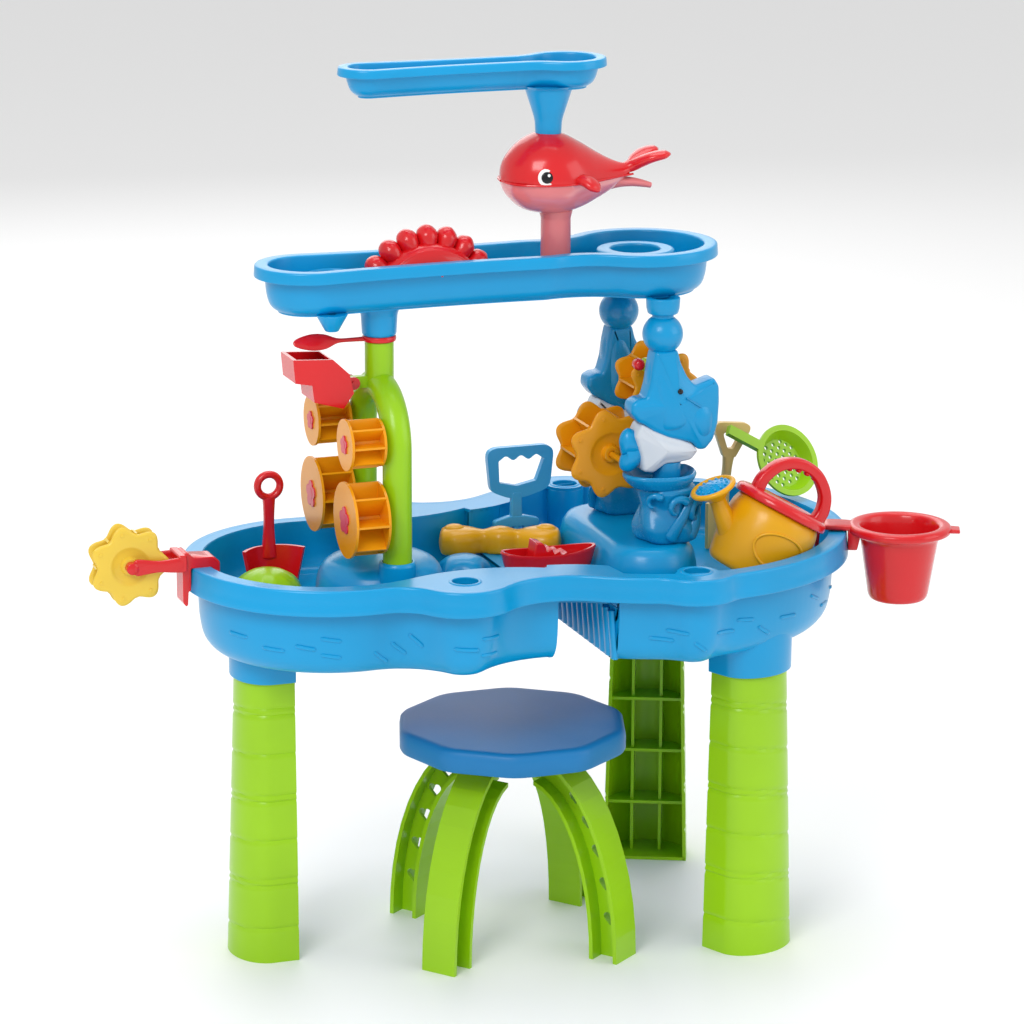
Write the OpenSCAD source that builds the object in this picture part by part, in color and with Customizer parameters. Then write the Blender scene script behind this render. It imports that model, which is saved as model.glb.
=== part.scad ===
// Sand and water table: two joined tubs on three legs, with water towers,
// two upper trays, turning wheels, loose toys and a stool.
// Millimetres, +Z up, +X along the table, -Y towards the user, floor at z = 0.

/* [Basin] */
// Height of the basin rim above the floor
rim_h = 383; // [340:1:470]
// Radius of the small lobe, measured at the rim
small_lobe_r = 135; // [130:1:170]
// Radius of the large lobe, measured at the rim
large_lobe_r = 193; // [180:1:240]
// Distance between the two lobe centres
lobe_pitch = 315; // [300:1:390]
// Drop of the turned-down lip below the rim
lip_drop = 23; // [15:1:30]
// Depth of the tubs from rim to floor
tub_depth = 49; // [40:1:60]
// Drop of the skirt below the rim
skirt_drop = 86; // [75:1:105]
// Thickness of the moulded walls
wall = 3; // [2.4:0.1:4]
// Radius of the tool holes in the rim bumps
tool_hole_r = 12; // [8:0.5:15]

/* [Legs] */
// Width of a leg at the floor
leg_w = 84; // [70:1:100]
// Depth of a leg at the floor
leg_d = 56; // [46:1:68]
// Size of the leg's top as a share of its foot
leg_taper = 0.84; // [0.75:0.01:0.95]

/* [Pipe tower] */
// Outer radius of the tower pipes
pipe_r = 13.5; // [11:0.5:16]
// Distance from the tower's centre line to each arch leg
arch_r = 52; // [48:1:60]
// Height of the arch spring line above the rim
arch_rise = 105; // [100:1:125]
// Radius of the upper paddle wheels
upper_wheel_r = 24; // [18:1:27]
// Radius of the lower paddle wheels
lower_wheel_r = 35.5; // [28:0.5:38]
// Width of the paddle wheels along their axles
wheel_w = 34; // [24:1:36]
// Radius of all wheel pins
pin_r = 3; // [2.5:0.1:4]
// Radial clearance of a running wheel on its pin
run_gap = 0.06; // [0.03:0.01:0.1]

/* [Figure tower] */
// Height of the middle tray's rim above the basin rim
tray_rise = 275; // [265:1:310]
// Radius of the large star wheel
large_star_r = 43; // [34:1:43]
// Radius of the small star wheel
small_star_r = 36; // [28:1:37]

/* [Top tray] */
// Height of the top tray's rim above the middle tray's rim
top_rise = 178; // [170:1:200]

/* [Stool] */
// Height of the stool
stool_h = 214; // [180:1:260]
// Radius of the seat to its corners
seat_r = 112; // [95:1:125]

/* [Hidden] */

$fn = 64;
blue = "#1b9de0";
green = "#8fc31f";
red = "#e01b1b";
orange = "#f5a21c";
yellow = "#f2b51d";
pink = "#f29a9a";
grey = "#c9cfe0";
tan_tone = "#e8c070";

// Plan places
small_x = -182;
large_x = small_x + lobe_pitch;
floor_z = rim_h - tub_depth;
skirt_z = rim_h - skirt_drop;
side_in = 14;
bump_r = 46;
hole_bump_r = 41;
small_bump = [small_x + 87, 0.963 * small_lobe_r, bump_r];
large_bump = [large_x - 16, 0.855 * large_lobe_r, hole_bump_r];
hole_in = 34;
gap_x0 = large_x - 137;
gap_x1 = large_x - 86;
seam_x = large_x - 105;
bridge_z = floor_z + 16;
waist_in = 40;
rest_gap = 0.3;

// Circles that the basin outline runs round, anticlockwise, and the fillets between them
lobe_s = [small_x, 0, small_lobe_r];
lobe_l = [large_x, 0, large_lobe_r];
function front(c) = [c[0], -c[1], c[2]];
rim_circles = [lobe_s, front(small_bump), lobe_l, front(large_bump), lobe_l,
  large_bump, lobe_l, small_bump];
rim_fillets = [40, 70, 30, 30, 30, 30, 70, 40];
cavity_circles = [lobe_s, lobe_l];
cavity_fillets = [130, 130];

// Centre of the circle of radius f that touches circles a and b on the outer side
function touch(a, b, f) =
  let (d = norm([b[0] - a[0], b[1] - a[1]]), u = [(b[0] - a[0]) / d, (b[1] - a[1]) / d])
  let (ra = a[2] + f, rb = b[2] + f, along = (ra * ra - rb * rb + d * d) / (2 * d))
  let (off = sqrt(ra * ra - along * along))
  [a[0] + u[0] * along + u[1] * off, a[1] + u[1] * along - u[0] * off];
function bearing(from, to) = atan2(to[1] - from[1], to[0] - from[0]);
function turn(a) = a < 0 ? a + 360 : a;
function arc(c, r, a0, sweep, n) =
  [for (i = [0:n - 1]) [c[0] + r * cos(a0 + sweep * i / n), c[1] + r * sin(a0 + sweep * i / n)]];
// Outline round a closed chain of circles, moved outwards by d
function chain(circles, fillets, d, n = 10) =
  let (m = len(circles), t = [for (i = [0:m - 1]) touch(circles[i], circles[(i + 1) % m], fillets[i])])
  [for (i = [0:m - 1])
    let (c = circles[i], c2 = circles[(i + 1) % m], q = t[i], p = t[(i + m - 1) % m])
    let (a0 = bearing(c, p), a1 = bearing(c, q), b0 = bearing(q, c), b1 = bearing(q, c2))
    let (s1 = turn(a1 - a0), s2 = turn(b0 - b1))
    each concat(arc(c, c[2] + d, a0, s1, max(3, ceil(s1 / n))),
      arc(q, fillets[i] - d, b0, -s2, max(3, ceil(s2 / n))))];

module rim_outline(d) { polygon(chain(rim_circles, rim_fillets, d)); }
module cavity_outline(d) { polygon(chain(cavity_circles, cavity_fillets, d - side_in - wall)); }
module slab(z, h) { translate([0, 0, z]) linear_extrude(height = h) children(); }
module between(x0, x1) {
  intersection() {
    children();
    translate([x0, -500]) square([x1 - x0, 1000]);
  }
}
module ring(outer_r, inner_r, h) {
  difference() {
    cylinder(h = h, r = outer_r);
    translate([0, 0, -1]) cylinder(h = h + 2, r = inner_r);
  }
}

// Legs: a D-section shell, open on the side that faces the table's middle
leg_top_w = leg_w * leg_taper;
leg_top_d = leg_d * leg_taper;
socket_z = rim_h - 111;
spigot_h = 44;
socket_gap = 0.4;
leg_places = [[small_x - 45, 0, 90],
  [large_x + 51, -114, 180 + 24], [large_x + 51, 114, -24]];
module d_shape(w, d, off = 0) {
  straight = d * 0.45;
  polygon(concat([[-w / 2 - off, 0], [w / 2 + off, 0]],
    [for (a = [0:10:180]) [(w / 2 + off) * cos(a), straight + (d - straight + off) * sin(a)]]));
}
module leg_shell(w, d) {
  difference() {
    d_shape(w, d);
    intersection() {
      d_shape(w, d, -wall);
      translate([-w, -1]) square([2 * w, d + 1]);
    }
  }
}
module at_leg(i) {
  translate([leg_places[i][0], leg_places[i][1], 0]) rotate([0, 0, leg_places[i][2]]) children();
}
module leg(i) {
  ribs = 4;
  at_leg(i) color(green) {
    linear_extrude(height = socket_z, scale = leg_taper) leg_shell(leg_w, leg_d);
    slab(socket_z, spigot_h) leg_shell(leg_top_w, leg_top_d);
    linear_extrude(height = wall) d_shape(leg_w, leg_d);
    for (k = [1:ribs]) {
      share = 1 - (1 - leg_taper) * k / (ribs + 1);
      slab(socket_z * k / (ribs + 1), wall) intersection() {
        d_shape(leg_w * share - 1, leg_d * share - 0.5);
        translate([-leg_w, leg_d * 0.25]) square([2 * leg_w, leg_d]);
      }
    }
    for (s = [-1, 1]) translate([s * leg_w * 0.17 - wall / 2, leg_d * 0.35, 0])
      cube([wall, leg_d * 0.4, socket_z]);
  }
}
module leg_socket(i) {
  at_leg(i) {
    slab(socket_z, floor_z - socket_z - 1) difference() {
      d_shape(leg_top_w, leg_top_d, socket_gap + wall);
      translate([0, -1]) d_shape(leg_top_w, leg_top_d + 1, socket_gap);
    }
    slab(socket_z, floor_z - socket_z - 1) translate([-leg_top_w / 2 - wall, -wall - socket_gap])
      square([leg_top_w + 2 * wall, wall]);
  }
}
module leg_left() { leg(0); }
module leg_front() { leg(1); }
module leg_back() { leg(2); }

// Tool holes: one in each rim bump
hole_len = 30;
small_hole = [small_bump[0], small_bump[1] + bump_r - hole_in - 6];
large_hole = [large_bump[0], large_bump[1] + hole_bump_r - hole_in];
module tool_sleeves(h) {
  for (s = [-1, 1]) translate([h[0], s * h[1], rim_h - hole_len])
    cylinder(h = hole_len, r = tool_hole_r + wall);
}
module leg_pockets(places) {
  for (i = places) at_leg(i) slab(socket_z - 1, floor_z - wall - socket_z + 1) translate([0, -1])
    d_shape(leg_top_w, leg_top_d + 1, socket_gap);
}
module tool_bores(h) {
  for (s = [-1, 1]) translate([h[0], s * h[1], rim_h - hole_len - 1])
    cylinder(h = hole_len + 2, r = tool_hole_r);
}
module tub(x0, x1, end0, end1, wall_x, hole, places) {
  difference() {
    union() {
      slab(rim_h - wall, wall) between(x0, x1) difference() {
        rim_outline(0);
        cavity_outline(0);
      }
      slab(rim_h - wall, wall) between(max(x0, gap_x0), min(x1, gap_x1)) difference() {
        rim_outline(0);
        rim_outline(-waist_in);
      }
      slab(rim_h - lip_drop, lip_drop) between(x0, x1) difference() {
        rim_outline(0);
        rim_outline(-wall);
      }
      slab(floor_z - wall, tub_depth) between(end0, end1) difference() {
        rim_outline(-side_in);
        rim_outline(-side_in - wall);
      }
      slab(skirt_z, skirt_drop - tub_depth) between(end0, end1) difference() {
        rim_outline(-side_in - 8);
        rim_outline(-side_in - 8 - wall);
      }
      slab(floor_z - wall, tub_depth) between(end0, end1) difference() {
        cavity_outline(wall);
        cavity_outline(0);
      }
      slab(floor_z - wall, wall) between(end0, end1) rim_outline(-side_in);
      slab(skirt_z, bridge_z - skirt_z) between(wall_x, wall_x + wall) rim_outline(-side_in - 8);
      slab(bridge_z, rim_h - bridge_z) between(wall_x, wall_x + wall) difference() {
        rim_outline(-side_in);
        rim_outline(-waist_in);
      }
      slab(bridge_z - wall, wall) between(max(x0, gap_x0), min(x1, gap_x1)) rim_outline(-waist_in);
      slab(bridge_z - wall, rim_h - bridge_z + wall) between(max(x0, gap_x0), min(x1, gap_x1)) difference() {
        rim_outline(-waist_in + wall);
        rim_outline(-waist_in);
      }
      tool_sleeves(hole);
    }
    tool_bores(hole);
    leg_pockets(places);
  }
}
module basin_left() {
  color(blue) {
    tub(-600, seam_x, -600, gap_x0, gap_x0 - wall, small_hole, [0]);
    leg_socket(0);
  }
}
module basin_right() {
  color(blue) {
    tub(seam_x, 600, gap_x1, 600, gap_x1, large_hole, [1, 2]);
    leg_socket(1);
    leg_socket(2);
  }
}

// Towers stand on domed pedestals
pipe_x = small_x + 50;
figure_x = large_x - 6;
figure_y = 56;
ped_r = 60;
ped_h = 50;
ped_top = floor_z + ped_h;
module left_pedestal() {
  color(blue) difference() {
    translate([pipe_x, 0, floor_z]) {
      cylinder(h = ped_h * 0.6, r1 = ped_r, r2 = ped_r - 4);
      translate([0, 0, ped_h * 0.6]) cylinder(h = ped_h * 0.4, r1 = ped_r - 4, r2 = ped_r - 22);
      for (s = [-1, 1]) translate([0, s * arch_r, 0]) cylinder(h = ped_h, r = pipe_r + 4);
    }
    for (s = [-1, 1]) translate([pipe_x, s * arch_r, floor_z + 12])
      cylinder(h = ped_h, r = pipe_r + socket_gap);
    translate([pipe_x, 0, floor_z - 1]) cylinder(h = 1 + ped_h * 0.4, r = ped_r - 2 * pipe_r - 9);
  }
}
island_x = large_x - 17;
island_r = 46;
module right_pedestal() {
  color(blue) {
    slab(floor_z, ped_h) difference() {
      hull() for (s = [-1, 1]) translate([island_x, s * figure_y]) circle(r = island_r);
      hull() for (s = [-1, 1]) translate([island_x, s * figure_y]) circle(r = island_r - wall);
    }
    slab(ped_top - wall, wall) hull()
      for (s = [-1, 1]) translate([island_x, s * figure_y]) circle(r = island_r - wall / 2);
    for (s = [-1, 1]) translate([figure_x + 6, s * figure_y, floor_z]) ring(9, 6, ped_h);
  }
}

// Pipe tower
spring_z = rim_h + arch_rise;
split_z = spring_z - 14;
crown_z = spring_z + arch_r;
pipe_wall = 2.5;
pin_root = 2.6;
tray_z = rim_h + tray_rise;
tray_depth = 41;
tray_under = tray_z - tray_depth - wall;
left_socket_z = tray_under - 25;
module pin_holes(z) {
  for (s = [-1, 1]) translate([pipe_x - pipe_r + pin_root, s * arch_r, z]) rotate([0, -90, 0])
    cylinder(h = 10, r = pin_r);
}
module arch_pipe(s) {
  color(green) difference() {
    translate([pipe_x, s * arch_r, floor_z + 12]) {
      ring(pipe_r, pipe_r - pipe_wall, split_z - floor_z - 12);
      translate([0, 0, split_z - floor_z - 22]) ring(pipe_r - pipe_wall, pipe_r - 2 * pipe_wall, 20);
    }
    pin_holes(lower_wheel_z);
  }
}
module arch_pipe_front() { arch_pipe(-1); }
module arch_pipe_back() { arch_pipe(1); }
lug_x = pipe_x - 27;
lug_z = crown_z + 4;
module arch_crown() {
  color(green) difference() {
    union() {
      for (s = [-1, 1]) translate([pipe_x, s * arch_r, split_z]) cylinder(h = spring_z - split_z, r = pipe_r);
      translate([pipe_x, 0, spring_z]) rotate([0, -90, 0]) rotate([0, 0, -90])
        rotate_extrude(angle = 180) translate([arch_r, 0]) circle(r = pipe_r);
      translate([pipe_x, 0, crown_z]) cylinder(h = 20, r = pipe_r);
      translate([lug_x, 0, lug_z]) rotate([90, 0, 0]) translate([0, 0, -3.4]) cylinder(h = 6.8, r = 5.5);
      translate([lug_x, -3.4, lug_z - 5.5]) cube([pipe_x - lug_x - pipe_r + 4, 6.8, 11]);
    }
    for (s = [-1, 1]) translate([pipe_x, s * arch_r, split_z - 1])
      cylinder(h = 12, r = pipe_r - pipe_wall + 0.1);
    translate([pipe_x, 0, crown_z + 4]) cylinder(h = 20, r = pipe_r - pipe_wall);
    translate([lug_x, 5, lug_z]) rotate([90, 0, 0]) cylinder(h = 10, r = pin_r - 0.5 + run_gap);
    pin_holes(upper_wheel_z);
  }
}
collar_z = left_socket_z - 8;
module upper_pipe() {
  color(green) translate([pipe_x, 0, crown_z + 20]) {
    ring(pipe_r, pipe_r - pipe_wall, collar_z - crown_z - 20);
    translate([0, 0, -16]) ring(pipe_r - pipe_wall, pipe_r - 2 * pipe_wall, 18);
    translate([0, 0, collar_z - crown_z - 22]) ring(pipe_r - pipe_wall, pipe_r - 2 * pipe_wall, 28);
  }
}

// Spinner: a ring round the pipe's neck with one twisted paddle
module spinner() {
  neck_r = pipe_r - pipe_wall;
  color(red) translate([pipe_x, 0, collar_z + 1.5]) {
    ring(pipe_r + 1, neck_r + 0.5, 5);
    translate([0, 0, 2.5]) rotate([0, -90, 0]) translate([0, 0, pipe_r - 1]) cylinder(h = 40, r = 2);
    translate([-pipe_r - 52, 0, 2.5]) rotate([62, 0, 0]) linear_extrude(height = 2.4, center = true)
      hull() {
        translate([-11, 0]) circle(r = 6.5);
        translate([14, 0]) circle(r = 2);
      }
  }
}

// Tipping bucket on its pin
bucket_w = 40;
module bucket_side(inset) {
  offset(delta = -inset) polygon([[-44, 29], [-6, 27], [10, 12], [14, -6], [4, -20], [-24, -12],
    [-26, 4], [-42, 7]]);
}
module tipping_bucket() {
  cheek = 2.6;
  color(red) translate([lug_x - 18, 0, lug_z]) difference() {
    union() {
      rotate([90, 0, 0]) translate([0, 0, -bucket_w / 2]) linear_extrude(height = bucket_w) bucket_side(0);
      for (s = [-1, 1]) translate([18, s * 6.2, 0]) rotate([90, 0, 0])
        translate([0, 0, -cheek / 2]) cylinder(h = cheek, r = 6);
      for (s = [-1, 1]) translate([6, s * 6.2 - cheek / 2, -6]) cube([12, cheek, 12]);
    }
    rotate([90, 0, 0]) translate([0, 0, -bucket_w / 2 + 2.5]) linear_extrude(height = bucket_w - 5)
      difference() {
        bucket_side(2.5);
        translate([8, -30]) square([20, 80]);
      }
    translate([-40, -bucket_w / 2 + 2.5, 20]) cube([32, bucket_w - 5, 20]);
    translate([11, -4.5, -14]) cube([16, 9, 40]);
    translate([18, 10, 0]) rotate([90, 0, 0]) cylinder(h = 20, r = pin_r - 0.5);
  }
}
module bucket_pin() {
  color(red) translate([lug_x, 9, lug_z]) rotate([90, 0, 0]) cylinder(h = 18, r = pin_r - 0.5);
}

// Paddle wheels turn on pins that stand out of the arch
wheel_gap = 3;
upper_wheel_z = rim_h + 115;
lower_wheel_z = rim_h + 44;
wheel_back_x = pipe_x - pipe_r - wheel_gap;
module wheel_axles() {
  color(green) for (s = [-1, 1]) {
    for (z = [upper_wheel_z, lower_wheel_z]) {
      translate([pipe_x - pipe_r + pin_root, s * arch_r, z]) rotate([0, -90, 0])
        cylinder(h = wheel_w + wheel_gap - 1, r = pin_r);
    }
  }
}
module paddle_wheel(y, z, r) {
  vanes = 8;
  disc = 2.4;
  color(orange) translate([wheel_back_x, y, z]) rotate([0, -90, 0]) difference() {
    union() {
      cylinder(h = disc, r = r - 2);
      translate([0, 0, wheel_w - disc]) cylinder(h = disc, r = r);
      cylinder(h = wheel_w, r = pin_r + 3);
      for (i = [0:vanes - 1]) rotate([0, 0, i * 360 / vanes]) translate([0, -1, disc - 0.5])
        cube([r - 1, 2, wheel_w - 2 * disc + 1]);
    }
    translate([0, 0, -1]) cylinder(h = wheel_w - 1, r = pin_r + run_gap);
  }
}
module flower_cap(y, z, r) {
  petals = 5;
  color(pink) translate([wheel_back_x - wheel_w, y, z]) rotate([0, -90, 0]) {
    cylinder(h = 1.6, r = r * 0.16);
    for (i = [0:petals - 1]) rotate([0, 0, i * 360 / petals]) translate([r * 0.22, 0, 0])
      cylinder(h = 1.4, r = r * 0.15);
  }
}
module wheel_upper_back() { paddle_wheel(arch_r, upper_wheel_z, upper_wheel_r); }
module wheel_upper_front() { paddle_wheel(-arch_r, upper_wheel_z, upper_wheel_r); }
module wheel_lower_back() { paddle_wheel(arch_r, lower_wheel_z, lower_wheel_r); }
module wheel_lower_front() { paddle_wheel(-arch_r, lower_wheel_z, lower_wheel_r); }
module flower_upper_back() { flower_cap(arch_r, upper_wheel_z, upper_wheel_r); }
module flower_upper_front() { flower_cap(-arch_r, upper_wheel_z, upper_wheel_r); }
module flower_lower_back() { flower_cap(arch_r, lower_wheel_z, lower_wheel_r); }
module flower_lower_front() { flower_cap(-arch_r, lower_wheel_z, lower_wheel_r); }

// Middle tray, held by the pipe tower and the two figure towers
tray_circles = [[pipe_x - 67, 0, 50], [figure_x - 107, 0, 46], [figure_x - 1, 0, 72],
  [figure_x - 107, 0, 46]];
tray_fillets = [1200, 60, 60, 1200];
tray_lip = 11;
ball_z = tray_under - 33;
ball_r = 19;
post_z = ball_z + ball_r + 0.2;
post_r = 10;
stem_x = figure_x - 86;
well_x = pipe_x - 45;
module tray_outline(d) { polygon(chain(tray_circles, tray_fillets, d)); }
module middle_tray() {
  color(blue) difference() {
    union() {
      slab(tray_z - wall, wall) difference() {
        tray_outline(0);
        tray_outline(-9 - wall);
      }
      slab(tray_z - tray_lip, tray_lip) difference() {
        tray_outline(0);
        tray_outline(-wall);
      }
      slab(tray_under, tray_depth + wall) difference() {
        tray_outline(-9);
        tray_outline(-9 - wall);
      }
      slab(tray_under, wall) tray_outline(-9);
      translate([pipe_x, 0, left_socket_z]) cylinder(h = 26, r = pipe_r);
      for (s = [-1, 1]) translate([figure_x, s * figure_y, post_z])
        cylinder(h = tray_under - post_z + 1, r = 16);
      translate([well_x, 0, tray_under]) ring(26, 23, 26);
      translate([figure_x - 8, 0, tray_under]) ring(40, 24, 24);
      translate([stem_x, 0, tray_under]) ring(14 + socket_gap + 2, 14 + socket_gap, 12);
      translate([well_x - 10, -30, tray_under - 14]) cylinder(h = 16, r1 = 6, r2 = 15);
    }
    translate([pipe_x, 0, left_socket_z - 1]) cylinder(h = 24, r = pipe_r - pipe_wall + 0.1);
    for (s = [-1, 1]) translate([figure_x, s * figure_y, post_z - 1]) cylinder(h = 12, r = post_r + 0.1);
    translate([well_x - 10, -30, tray_under - 15]) cylinder(h = 20, r = 4);
  }
}

// Figure towers: two hollow half figures that face outwards, one each side of the star wheels
shell_y0 = 48;
shell_y1 = 70;
tail_w = 8;
module figure_side() {
  translate([0, ball_z]) circle(r = ball_r);
  hull() {
    translate([0, ball_z - 16]) circle(r = 10);
    translate([-2, ball_z - 50]) circle(r = 17);
  }
  hull() {
    translate([-2, ball_z - 50]) circle(r = 17);
    translate([6, ball_z - 72]) circle(r = 26);
  }
  hull() {
    translate([6, ball_z - 72]) circle(r = 26);
    translate([34, ball_z - 80]) circle(r = 16);
  }
  hull() {
    translate([40, ball_z - 50]) circle(r = 9);
    translate([34, ball_z - 80]) circle(r = 16);
  }
  hull() {
    translate([34, ball_z - 84]) circle(r = 14);
    translate([37, ball_z - 104]) circle(r = 6);
  }
}
module figure_shell(s) {
  axle_places = [[large_star_x - figure_x, star_z], [small_star_x - figure_x, small_star_z]];
  color(blue) difference() {
    union() {
      difference() {
        side_slab(s, shell_y0, shell_y1) offset(r = 3) offset(r = -3) figure_side();
        side_slab(s, shell_y0 - 1, shell_y1 - wall) offset(delta = -wall) difference() {
          figure_side();
          translate([axle_places[1][0], axle_places[1][1]]) circle(r = 9);
          translate([-5, ball_z - 10]) square([10, 60]);
        }
        side_slab(s, shell_y0 - 1, shell_y1 + 1) offset(r = 0.2) belly_side();
      }
      side_slab(s, shell_y0, shell_y0 + tail_w) hull() {
        translate([-36, star_z]) circle(r = 13);
        translate([-14, star_z + 4]) circle(r = 11);
        translate([0, ball_z - 70]) circle(r = 12);
      }
      translate([figure_x, s * figure_y, ball_z + 12]) cylinder(h = post_z - ball_z - 2, r = post_r);
    }
    for (p = axle_places) translate([figure_x + p[0], s * (shell_y0 - 1), p[1]]) rotate([-s * 90, 0, 0])
      cylinder(h = 9, r = pin_r);
  }
}
module side_slab(s, y0, y1) {
  translate([figure_x, s > 0 ? y1 : -y0, 0]) rotate([90, 0, 0]) linear_extrude(height = y1 - y0) children();
}
module belly_side() {
  offset(r = 3) offset(r = -3) polygon([[-24, ball_z - 86], [10, ball_z - 99], [29, ball_z - 101],
    [29, ball_z - 122], [4, ball_z - 123], [-12, ball_z - 130], [-24, ball_z - 124]]);
}
module belly(s) {
  color(grey) difference() {
    side_slab(s, shell_y0 + tail_w + 0.3, shell_y1 - 2) belly_side();
    translate([figure_x + 6 + stub_dx, s * figure_y, wave_top - 20]) cylinder(h = 20.3, r = stub_r + 0.3);
  }
}
star_z = rim_h + 78;
small_star_z = rim_h + 140;
large_star_x = figure_x - 37;
small_star_x = figure_x + 16;
star_half_w = 23;
module dolphin_front() { figure_shell(-1); }
module dolphin_back() { figure_shell(1); }
module belly_front() { belly(-1); }
module belly_back() { belly(1); }

// Wave stands: a round dish over a curled base, one under each figure
wave_top = ball_z - 123;
dish_r = 30;
stub_r = 13;
stub_dx = 4;
module wave(s) {
  color(blue) translate([figure_x + 6, s * figure_y, 0]) {
    translate([0, 0, ped_top]) cylinder(h = 14, r1 = 30, r2 = 22);
    translate([0, 0, ped_top + 14]) cylinder(h = wave_top - ped_top - 30, r1 = 22, r2 = 30);
    slab(wave_top - 18, 6) hull() for (x = [-8, 5]) translate([x, 0]) circle(r = dish_r);
    translate([stub_dx, 0, wave_top - 12]) cylinder(h = 12, r = stub_r);
  }
}
module wave_front() { wave(-1); }
module wave_back() { wave(1); }

module star_axles() {
  color(orange) for (p = [[large_star_x, star_z], [small_star_x, small_star_z]])
    translate([p[0], shell_y0 + 7, p[1]]) rotate([90, 0, 0]) cylinder(h = 2 * shell_y0 + 14, r = pin_r);
}
module star_plate(r, lobes, depth) {
  polygon([for (a = [0:4:356]) (r - depth + depth * cos(lobes * a)) * [cos(a), sin(a)]]);
}
module star_wheel(r, half_w, lobes = 7) {
  disc = 3;
  depth = r * 0.06;
  difference() {
    union() {
      for (y = [-half_w, half_w - disc]) translate([0, 0, y]) linear_extrude(height = disc)
        star_plate(r, lobes, depth);
      translate([0, 0, -half_w - 2]) cylinder(h = 2 * half_w + 4, r = 8);
      for (i = [0:lobes - 1]) rotate([0, 0, i * 360 / lobes]) translate([0, -1, -half_w + 1])
        cube([r - 2 * depth - 1, 2, 2 * half_w - 2]);
    }
    translate([0, 0, -half_w - 3]) cylinder(h = 2 * half_w + 6, r = pin_r + run_gap);
  }
}
module large_star_wheel() {
  color(orange) translate([large_star_x, 0, star_z]) rotate([90, 0, 0]) star_wheel(large_star_r, star_half_w);
}
module small_star_wheel() {
  color(orange) translate([small_star_x, 0, small_star_z]) rotate([90, 0, 0])
    star_wheel(small_star_r, star_half_w);
}

// Whale on its stem, with the top tray's funnel in its blowhole
stem_foot = tray_under + wall + rest_gap;
whale_z = tray_z + 63;
stem_top = whale_z - 25;
whale_x = stem_x - 1;
funnel_x = stem_x - 8;
top_z = tray_z + top_rise;
module whale_form(shrink) {
  hull() {
    translate([whale_x - 10, 0, whale_z + 6]) sphere(r = 43 - shrink, $fn = 32);
    translate([whale_x + 28, 0, whale_z]) sphere(r = 26 - shrink, $fn = 24);
  }
  hull() {
    translate([whale_x + 28, 0, whale_z + 1]) sphere(r = 22 - shrink, $fn = 24);
    translate([whale_x + 66, 0, whale_z + 4]) sphere(r = 6 - shrink, $fn = 16);
  }
}
module whale_shell() {
  color(red) {
    difference() {
      intersection() {
        whale_form(0);
        translate([whale_x - 80, -60, whale_z + 0.2]) cube([200, 120, 80]);
      }
      whale_form(2.5);
      translate([funnel_x, 0, whale_z]) cylinder(h = 80, r = funnel_tip_r + 2.8);
      eye_discs();
    }
    translate([whale_x + 66, 0, whale_z + 4]) rotate([0, -22, 0]) linear_extrude(height = 5)
      for (s = [-1, 1]) hull() {
        circle(r = 5);
        translate([32, s * 15]) circle(r = 9);
      }
    for (s = [-1, 1]) translate([whale_x + 16, s * 34, whale_z + 1]) rotate([s * -30, 0, -8 * s])
      linear_extrude(height = 4) hull() {
        circle(r = 7);
        translate([10, s * 12]) circle(r = 6);
      }
  }
}
module whale_belly() {
  color(pink) {
    difference() {
      intersection() {
        whale_form(0.4);
        translate([whale_x - 80, -60, whale_z - 32]) cube([200, 120, 32]);
      }
      intersection() {
        whale_form(3);
        translate([whale_x - 80, -60, whale_z - 25]) cube([200, 120, 32]);
      }
    }
    translate([whale_x + 46, 0, whale_z - 8]) rotate([0, 100, 0]) ring(5, 2.5, 48);
  }
}
module whale_stem() {
  color(pink) translate([stem_x, 0, stem_foot]) ring(14, 11, whale_z - 32 - stem_foot);
}
module eye_discs() {
  for (s = [-1, 1]) translate([whale_x - 14, s * 39.5, whale_z + 12]) rotate([-s * 84, 0, 0])
    cylinder(h = 4.5, r = 8);
}
module whale_eyes() {
  color("white") eye_discs();
}

// Top tray with its funnel
funnel_r = 22.5;
funnel_tip_r = 12;
top_depth = 25;
top_under = top_z - top_depth - wall;
top_circles = [[funnel_x - 174, 0, 28], [funnel_x - 36, 0, 23], [funnel_x + 16, 0, 38],
  [funnel_x - 36, 0, 23]];
top_fillets = [900, 40, 40, 900];
module top_outline(d) { polygon(chain(top_circles, top_fillets, d)); }
module top_tray() {
  tip_z = whale_z + 42;
  color(blue) {
    slab(top_z - wall, wall) difference() {
      top_outline(0);
      top_outline(-6 - wall);
    }
    slab(top_z - 8, 8) difference() {
      top_outline(0);
      top_outline(-wall);
    }
    slab(top_under, top_depth + wall) difference() {
      top_outline(-6);
      top_outline(-6 - wall);
    }
    slab(top_under, wall) difference() {
      top_outline(-6);
      translate([funnel_x, 0]) circle(r = funnel_r - wall);
    }
    translate([funnel_x, 0, tip_z]) difference() {
      cylinder(h = top_under - tip_z + 1, r1 = funnel_tip_r, r2 = funnel_r);
      translate([0, 0, -1])
        cylinder(h = top_under - tip_z + 3, r1 = funnel_tip_r - wall, r2 = funnel_r - wall);
    }
  }
}

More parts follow.
